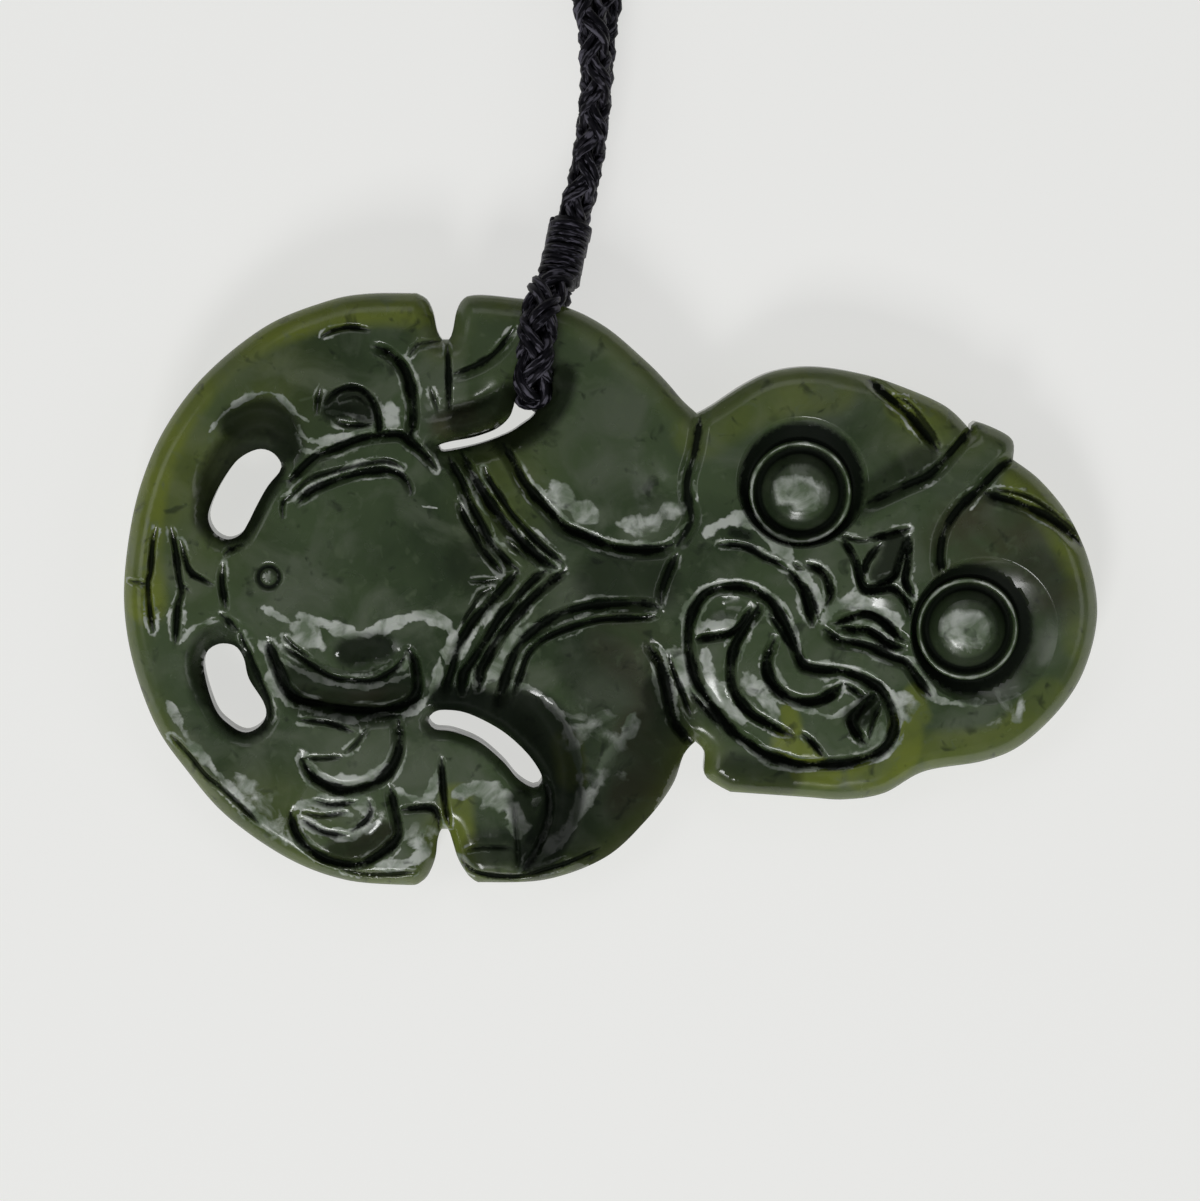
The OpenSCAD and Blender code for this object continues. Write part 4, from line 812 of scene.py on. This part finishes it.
# Radii of the rings of points round an eye and round the navel
EYE_RINGS = (3.5, 3.62, 3.75, 3.88, 4.0, 4.12, 3.3, 3.15, 3.0, 2.85, 2.7, 2.5,
             4.35, 4.6, 2.3, 2.0, 1.7, 1.35, 1.0, 0.6, 0.25)
NAVEL_RINGS = (0.25, 0.45, 0.6, 0.7, 0.8, 0.92, 1.05, 1.2)
# How far down the walls, as a share of their height, their rows of points lie
WALL_ROWS = (0.08, 0.5, 0.92)
# How many points are measured against a path at once
POINTS_AT_ONCE = 8000


def nearest(points, line):
    """Distance to a polyline, whether each point is to its left, and how far along the nearest place is."""
    a, b = line[:-1], line[1:]
    ab = b - a
    length = np.hypot(*ab.T)
    run = np.r_[0, np.cumsum(length)]
    dist, left, along = (np.empty(len(points)) for _ in range(3))
    for s in range(0, len(points), POINTS_AT_ONCE):
        part = slice(s, s + POINTS_AT_ONCE)
        rel = points[part, None] - a[None]
        t = np.clip((rel * ab).sum(2) / np.maximum((ab * ab).sum(1), 1e-12), 0, 1)
        off = rel - t[..., None] * ab
        d = np.hypot(off[..., 0], off[..., 1])
        k = d.argmin(1)
        row = np.arange(len(k))
        dist[part] = d[row, k]
        left[part] = (ab[k, 0] * rel[row, k, 1] - ab[k, 1] * rel[row, k, 0]) > 0
        along[part] = run[k] + t[row, k] * length[k]
    return dist, left.astype(bool), along


def from_loop(points, loop):
    """Distance to a closed outline."""
    return nearest(points, np.vstack([loop, loop[:1]]))[0]


def close_to(points, path, reach):
    """Which points lie in a path's box, widened by the given reach."""
    return ((points > path.min(0) - reach) & (points < path.max(0) + reach)).all(1)


def inside(points, loop):
    """Which points lie within a closed outline."""
    x, y = points.T
    hit = np.zeros(len(points), bool)
    for (x0, y0), (x1, y1) in zip(loop, np.roll(loop, -1, 0)):
        crosses = (y0 > y) != (y1 > y)
        hit ^= crosses & (x < x0 + (y - y0) * (x1 - x0) / (y1 - y0 if y1 != y0 else 1e-12))
    return hit


def share(value):
    """A value kept between 0 and 1."""
    return np.clip(value, 0, 1)


def eased(value):
    """A share from 0 to 1 that starts and ends softly."""
    return value**2 * (3 - 2 * value)


def away_from(p, centre):
    """Distance to one point."""
    return np.hypot(*(p - centre).T)


def bowl(p, centre, reach):
    """How much of a round swelling's height each point has."""
    return np.maximum(0, 1 - ((p - np.array(centre)) ** 2).sum(1) / reach**2)


def even_shade_width(depth):
    """Usual half width of the painted shade in a line's bottom."""
    return 0.14 + 0.24 * depth


def uneven_shade_width(depth, along):
    """The same at places along the line, where a hand-held grinder leaves it a little uneven."""
    return even_shade_width(depth) * (1 + 0.22 * np.sin(1.3 * along + 9 * depth) + 0.10 * np.sin(3.1 * along))


def cut_of(p, line, power=None, run_out=1.1):
    """Depth that one carved line takes away at each point, how much painted shade its bottom lays on the
    point and how much painted highlight its lips lay. It runs out softly at open ends."""
    left, right, depth, route = line
    path = curve(route, LINE_STEP)
    near = close_to(p, path, max(left, right))
    cut, dark, pale = (np.zeros(len(p)) for _ in range(3))
    d, is_left, along = nearest(p[near], path)
    total = np.hypot(*np.diff(path, axis=0).T).sum()
    fade = 1.0
    if not np.allclose(route[0], route[-1]):
        fade = share(np.minimum(along, total - along) / run_out + (0.1 if power is None else 0))
        fade = fade**0.7 if power is None else eased(fade)
    near_bottom = share(1 - d / np.where(is_left, left, right))
    cut[near] = depth * fade * (near_bottom**power if power else eased(near_bottom))
    # Painted shade in the line's bottom, and painted highlights along both its lips
    shade_width = uneven_shade_width(depth, along) * fade
    dark[near] = min(1, depth / 0.4) * share((shade_width - d) / 0.10 + 0.2)
    uneven = 0.5 + 0.35 * np.sin(0.8 * along + 5 * depth)
    pale[near] = uneven * share(1.5 - np.abs(d - shade_width - LIP_AWAY) / LIP_WIDTH)
    return cut, dark, pale


def deepest(p, lines, power, run_out):
    """Depth that the deepest of several broad cuts takes away at each point."""
    return np.max([cut_of(p, line, power, run_out)[0] for line in lines], axis=0)


def eye_cut(p, eye):
    """Depth of an eye and of the slope that runs up from its edge to the edge of its socket."""
    centre, socket, radius = (np.array(v) for v in eye[:3])
    rel = p - centre
    r = np.hypot(*rel.T)
    way = rel / np.maximum(r, 1e-6)[:, None]
    offset = centre - socket
    b = way @ offset
    edge = -b + np.sqrt(np.maximum(b * b - (offset @ offset - radius**2), 0))
    slope = EYE_DEPTH * share((edge - r) / np.maximum(edge - EYE_EDGE, 0.2)) ** 0.8
    return np.where(r < EYE_EDGE, np.interp(r, *np.array(EYE_SECTION).T), slope)


def with_eye(p, eye, fine, dark):
    """Depth and painted shade with an eye cut in: painted shade in its groove and deep in its socket, less
    on its ball.
    """
    cut = eye_cut(p, eye)
    r = away_from(p, eye[0])
    fine = np.where(cut > 0, np.maximum(cut, np.where(r < EYE_EDGE, 0, fine)), fine)
    dark = np.where(r < EYE_RIM, share(1.9 - np.abs(r - EYE_GROOVE) / 0.28), dark)
    dark = np.maximum(dark, np.where(r < 3.1, 0.6 * share((r - 1.9) / 0.4), 0))
    socket_shade = share((cut - 0.25) / 0.3) * np.clip((eye[3] + 0.7 - r) / 0.7, 0.3, 1)
    return fine, np.where((cut > 0) & (r > EYE_RIM), socket_shade, dark)


def front_height(p, rim, holes):
    """Height of the carved front over the back, how much painted shade and painted highlight it gets there,
    and how near the rim.
    """
    z = RIM_THICKNESS + np.maximum(BODY_RISE * bowl(p, BELLY_CENTRE, BELLY_REACH),
                                   HEAD_RISE * bowl(p, FACE_CENTRE, FACE_REACH))
    broad = deepest(p, HOLLOWS, None, HOLLOW_RUN_OUT) + deepest(p, COVES, COVE_POWER, COVE_RUN_OUT)
    carved = np.zeros((3, len(p)))
    for line in FINE_LINES:
        carved = np.maximum(carved, cut_of(p, line))
    fine, dark, pale = carved
    for eye in EYES:
        fine, dark = with_eye(p, eye, fine, dark)
    from_navel = away_from(p, NAVEL)
    # The navel: a ring groove with painted shade, and a painted highlight on its middle
    ring = np.abs(from_navel - NAVEL_RADIUS)
    fine = np.maximum(fine, 0.35 * share(1 - ring / 0.35) ** 0.7)
    dark = np.maximum(dark, share(1.6 - ring / 0.16))
    pale = np.maximum(pale, 0.7 * (from_navel < 0.45))
    rim_distance = from_loop(p, rim)
    z = z - broad - fine - BEVEL_DEPTH * share(1 - rim_distance / BEVEL_WIDTH) ** 2
    for name, loop in holes.items():
        width, depth = PIERCINGS[name][:2]
        near = close_to(p, loop, width)
        z[near] -= depth * share(1 - from_loop(p[near], loop) / width) ** 1.5
    return np.maximum(z, THINNEST), dark, pale * (1 - dark), rim_distance


def front_normals(p, rim, holes, span=0.06):
    """Directions square to the carved front, from its height a little to each side of every point."""
    rise = [front_height(p + step, rim, holes)[0] - front_height(p - step, rim, holes)[0]
            for step in (np.array((span, 0)), np.array((0, span)))]
    return unit(np.column_stack([-rise[0], -rise[1], np.full(len(p), 2 * span)]))


def back_height(p, rim, holes):
    """Height of the back's rounded edges over its flat middle."""
    z = BACK_CHAMFER * share(1 - from_loop(p, rim) / BACK_CHAMFER) ** 1.4
    for loop in holes.values():
        z = np.maximum(z, 0.3 * share(1 - from_loop(p, loop) / 0.4))
    return z


def rows_beside(path, offsets, closed=False):
    """Copies of a path, each offset to its left."""
    t = unit(np.roll(path, -1, 0) - np.roll(path, 1, 0) if closed else np.gradient(path, axis=0))
    side = np.stack([-t[:, 1], t[:, 0]], 1)
    return [path + o * side for o in offsets]


def circle(centre, radius, count):
    """Points evenly round a circle."""
    angle = 2 * np.pi * np.arange(count) / count
    return np.array(centre) + radius * np.stack([np.cos(angle), np.sin(angle)], 1)


def thinned(groups, spacing):
    """Points of all groups, earlier groups first, with one point to a cell of the given size."""
    taken, out = set(), []
    for group in groups:
        for p in group:
            cell = (int(p[0] // spacing), int(p[1] // spacing))
            if cell not in taken:
                taken.add(cell)
                out.append(p)
    return np.array(out)


def triangulated(loops, points):
    """Triangles over the outline less its piercings, through the given inner points."""
    coords = np.vstack(loops + [points])
    edges, start, order = [], 0, []
    for loop in loops:
        n = len(loop)
        edges += [(start + k, start + (k + 1) % n) for k in range(n)]
        order.append(np.arange(start, start + n))
        start += n
    verts, _, faces, origin, _, _ = geometry.delaunay_2d_cdt(
        [Vector(c) for c in coords], edges, [], 1, 1e-6, True)
    verts = np.array([tuple(v) for v in verts])
    faces = np.array(faces)
    middle = verts[faces].mean(1)
    keep = inside(middle, loops[0])
    for hole in loops[1:]:
        keep &= ~inside(middle, hole)
    faces = faces[keep]
    place = {i: k for k, ids in enumerate(origin) for i in ids}
    rings = [np.array([place[i] for i in ring]) for ring in order]
    a, b, c = (verts[faces[:, k]] for k in range(3))
    flip = ((b - a)[:, 0] * (c - a)[:, 1] - (b - a)[:, 1] * (c - a)[:, 0]) < 0
    faces[flip] = faces[flip][:, ::-1]
    return verts, faces, rings


def feature_points():
    """Rings of points round eyes and navel, and rows along the carved lines and narrow painted highlights.
    """
    groups = []
    for centre, socket, radius, _ in EYES:
        rings = [(socket, radius), (socket, radius - 0.14), (socket, radius + 0.14)]
        rings += [(centre, r) for r in EYE_RINGS]
        groups += [circle(c, r, round(36 * r) + 12) for c, r in rings]
    groups += [circle(NAVEL, r, 40) for r in NAVEL_RINGS]
    for left, right, depth, route in FINE_LINES:
        shade_width = even_shade_width(depth) * 1.05
        groups += rows_beside(curve(route, 0.26), (
            shade_width, -shade_width, shade_width - 0.13, 0.13 - shade_width, 0, left, -right, 0.8 * left, -0.8 * right,
            shade_width + 0.13, -shade_width - 0.13, shade_width + 0.36, -shade_width - 0.36))
    for width, _, route in PAINTED_HIGHLIGHTS:
        if width < 0.6:
            groups += rows_beside(curve(route, 0.24), (0, width, -width, 1.35 * width, -1.35 * width))
    return groups


def inner_points(rim, holes, spacing, rows, fine):
    """Inner points: for the front those of its features, then rows along rim and holes, and a grid."""
    groups = feature_points() if fine else []
    for loop, most in [(rim, rows)] + [(h, rows[:3]) for h in holes.values()]:
        sparse = loop if fine else loop[::2]
        sign = 1 if loop is rim else -1
        groups += rows_beside(sparse, [sign * r for r in most], True)
    lo, hi = rim.min(0), rim.max(0)
    x, y = np.meshgrid(np.arange(lo[0], hi[0], spacing), np.arange(lo[1], hi[1], TRIANGLE_HEIGHT * spacing))
    x[1::2] += spacing / 2
    groups.append(np.stack([x.ravel(), y.ravel()], 1))
    p = thinned(groups, FINEST if fine else 0.5 * spacing)
    p = p[inside(p, rim) & (from_loop(p, rim) > RIM_CLEARANCE)]
    for loop in holes.values():
        p = p[~inside(p, loop) & (from_loop(p, loop) > HOLE_CLEARANCE)]
    return p


def tipped(v):
    """From the figure's frame to how it lies, in millimetres."""
    c, s = math.cos(TIP_HEADING), math.sin(TIP_HEADING)
    x, y = v[:, 0] * c + v[:, 1] * s, -v[:, 0] * s + v[:, 1] * c
    y, z = (y * math.cos(TIP_ANGLE) - v[:, 2] * math.sin(TIP_ANGLE),
            y * math.sin(TIP_ANGLE) + v[:, 2] * math.cos(TIP_ANGLE))
    return np.stack([x * c - y * s, x * s + y * c, z], 1)


def brush(along, amount):
    """How much of its width a painted highlight keeps along its length: uneven, and narrow at both ends."""
    uneven = 1.02 + 0.32 * np.sin(1.7 * along + 9 * amount) + 0.16 * np.sin(4.9 * along)
    end = np.minimum(along, along.max(initial=0) - along)
    return uneven * share(0.4 + 0.8 * end)


def paint_of(p, dark, pale, rim_distance):
    """Olive, brown, dark and pale amounts at each point: the dark is painted shade, the pale painted
    highlights.
    """
    # Olive close to the rim is a painted glow of light through the thin edge
    paint = {"olive": 0.5 * np.exp(-((rim_distance / 1.4) ** 2)), "brown": np.zeros(len(p)), "dark": dark,
             "pale": pale.copy()}
    for x, y, rx, ry, amount in OLIVE_PATCHES:
        patch = amount * np.exp(-((p[:, 0] - x) / rx) ** 2 - ((p[:, 1] - y) / ry) ** 2)
        paint["olive"] = np.maximum(paint["olive"], patch)
    # Painted shade, painted highlights and the olive and brown tints, each along its routes
    for kind, routes_of_kind in PAINT_ROUTES.items():
        for width, amount, route in routes_of_kind:
            path = curve(route, 0.5)
            near = close_to(p, path, 2 * width)
            d, _, along = nearest(p[near], path)
            reach = 1.3 * width * brush(along, amount) if kind == "pale" else 1.6 * width
            stroke = amount * share(1.5 * (1 - (d / reach) ** 2))
            paint[kind][near] = np.maximum(paint[kind][near], stroke)
    for eye in EYES:
        r = away_from(p, eye[0])
        # Painted highlights on each eye's raised ring and over its ball, and no painted shade on the ring
        ring = np.abs(r - EYE_RIDGE)
        glint = np.hypot(*((p - eye[0] - (-0.2, 0.1)) / (1.7, 1.2)).T)
        ridge_glint = 0.8 * share(1.4 - ring / 0.13)
        gleam = 1.2 * share(1.6 - glint) * (r < 2.4)
        for part in (ridge_glint, gleam, 0.3 * (r < 1.9)):
            paint["pale"] = np.maximum(paint["pale"], part)
        paint["dark"] = np.where(ring < 0.15, 0, paint["dark"])
    return share(np.stack([paint[kind] for kind in ("olive", "brown", "dark", "pale")], 1))


def seated(v):
    """The same points moved to where the stone lies: over its box's middle, on its lowest level."""
    low, high = (np.array(c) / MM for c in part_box("tiki_stone"))
    return v + [(low[0] + high[0] - v[:, 0].min() - v[:, 0].max()) / 2,
                (low[1] + high[1] - v[:, 1].min() - v[:, 1].max()) / 2, low[2] - v[:, 2].min()]


def set_normals(mesh, points, square):
    """Gives some vertices the directions worked out for them, and leaves the others as they are."""
    normals = np.empty(3 * len(mesh.vertices), "f")
    mesh.vertex_normals.foreach_get("vector", normals)
    normals = normals.reshape(-1, 3)
    normals[points] = square
    mesh.normals_split_custom_set_from_vertices([tuple(n) for n in normals])


def carved_stone(name, materials):
    """The whole stone: carved front, plain back, and the walls of its edge and of its piercings."""
    rim = np.vstack([curve(run, RIM_STEP)[:-1] for run in RIM_RUNS.values()])
    holes = {key: curve(outline, HOLE_STEP, True) for key, (_, _, outline) in PIERCINGS.items()}
    loops = [rim] + list(holes.values())
    front_xy, front_faces, front_rings = triangulated(
        loops, inner_points(rim, holes, FRONT_SPACING, FRONT_ROWS, True))
    back_xy, back_faces, back_rings = triangulated(
        loops, inner_points(rim, holes, BACK_SPACING, BACK_ROWS, False))
    z, dark, pale, rim_distance = front_height(front_xy, rim, holes)
    front = np.column_stack([front_xy, z])
    back = np.column_stack([back_xy, back_height(back_xy, rim, holes)])
    nf, start = len(front), len(front) + len(back)
    vertices, faces = [front, back], [tuple(f) for f in front_faces]
    faces += [tuple(nf + f[::-1]) for f in back_faces]
    none, far = np.zeros(len(back)), np.full(len(back), 9.0)
    # The back and the walls get only the olive and brown paint, not the front's painted shade and
    # highlights, and the back has no painted glow along its edge.
    olive_and_brown_only = (1, 1, 0, 0)
    paint = [paint_of(front_xy, dark, pale, rim_distance), paint_of(back_xy, none, none, far) * olive_and_brown_only]
    # The rim runs anticlockwise and the piercings clockwise, so the stone is on the left of both.
    for loop, (top, bottom) in enumerate(zip(front_rings, back_rings)):
        n = len(top)
        wall_dark = (0, 0, PIERCED_WALL_DARK if loop else 0, 0)
        levels = [top]
        for down in WALL_ROWS:
            ring = front[top] * (1 - down) + back[bottom] * down
            vertices.append(ring)
            paint.append(paint_of(ring[:, :2], *np.zeros((3, n))) * olive_and_brown_only + wall_dark)
            levels.append(np.arange(start, start + n))
            start += n
        levels.append(nf + bottom)
        for a, b in zip(levels, levels[1:]):
            faces += [(a[k], b[k], b[(k + 1) % n], a[(k + 1) % n]) for k in range(n)]
    v = seated(tipped(np.vstack(vertices)))
    stone = new_object(name, v * MM, [tuple(int(k) for k in face) for face in faces], materials)
    inner = np.setdiff1d(np.arange(nf), np.concatenate(front_rings))
    set_normals(stone.data, inner, tipped(front_normals(front_xy[inner], rim, holes)))
    slots = np.zeros(len(faces), int)
    slots[:len(front_faces)] = (dark > UNPOLISHED)[front_faces].all(1)
    stone.data.polygons.foreach_set("material_index", slots)
    layer = stone.data.color_attributes.new("paint", "FLOAT_COLOR", "POINT")
    layer.data.foreach_set("color", np.vstack(paint).astype("f").ravel())
    return stone


polished = greenstone_material("greenstone", 0.5, 0.16, 0.30)
unpolished = greenstone_material("greenstone_grooves", 0.08, 0.6, 0.7)
stone = carved_stone("carved_tiki", [polished, unpolished])
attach(stone, "root")
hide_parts("tiki_stone")

# floor and light
FLOOR_REACH = 3.0
WORLD_STRENGTH = 0.10


def make_floor():
    r = FLOOR_REACH
    floor = new_object("floor", [(-r, -r, 0), (r, -r, 0), (r, r, 0), (-r, r, 0)], [(0, 1, 2, 3)],
                       [floor_material()])


def area_light(name, place, size, power):
    """A square soft light that faces the pendant."""
    data = bpy.data.lights.new(name, "AREA")
    data.shape, data.size, data.energy = "SQUARE", size, power
    light = bpy.data.objects.new(name, data)
    light.location = place
    light.rotation_euler = (-Vector(place)).to_track_quat("-Z", "Y").to_euler()
    bpy.context.collection.objects.link(light)


def make_world():
    world = bpy.data.worlds.new("world")
    world.use_nodes = True
    background = world.node_tree.nodes["Background"]
    background.inputs["Color"].default_value = (0.95, 0.97, 1.0, 1)
    background.inputs["Strength"].default_value = WORLD_STRENGTH
    bpy.context.scene.world = world


# The window stands beyond the photograph's lower edge, well off the camera's axis, so only what slopes
# towards it gleams. The floor glows faintly, as a light table does, so no shadow is hard.
make_floor()
make_world()
area_light("window", (-0.20, -0.72, 0.66), 0.30, 4.4)
area_light("left", (-0.75, 0.05, 0.70), 0.50, 0.9)
area_light("right", (0.75, -0.10, 0.70), 0.50, 0.7)
area_light("back", (-0.10, 0.70, 0.75), 0.60, 0.8)
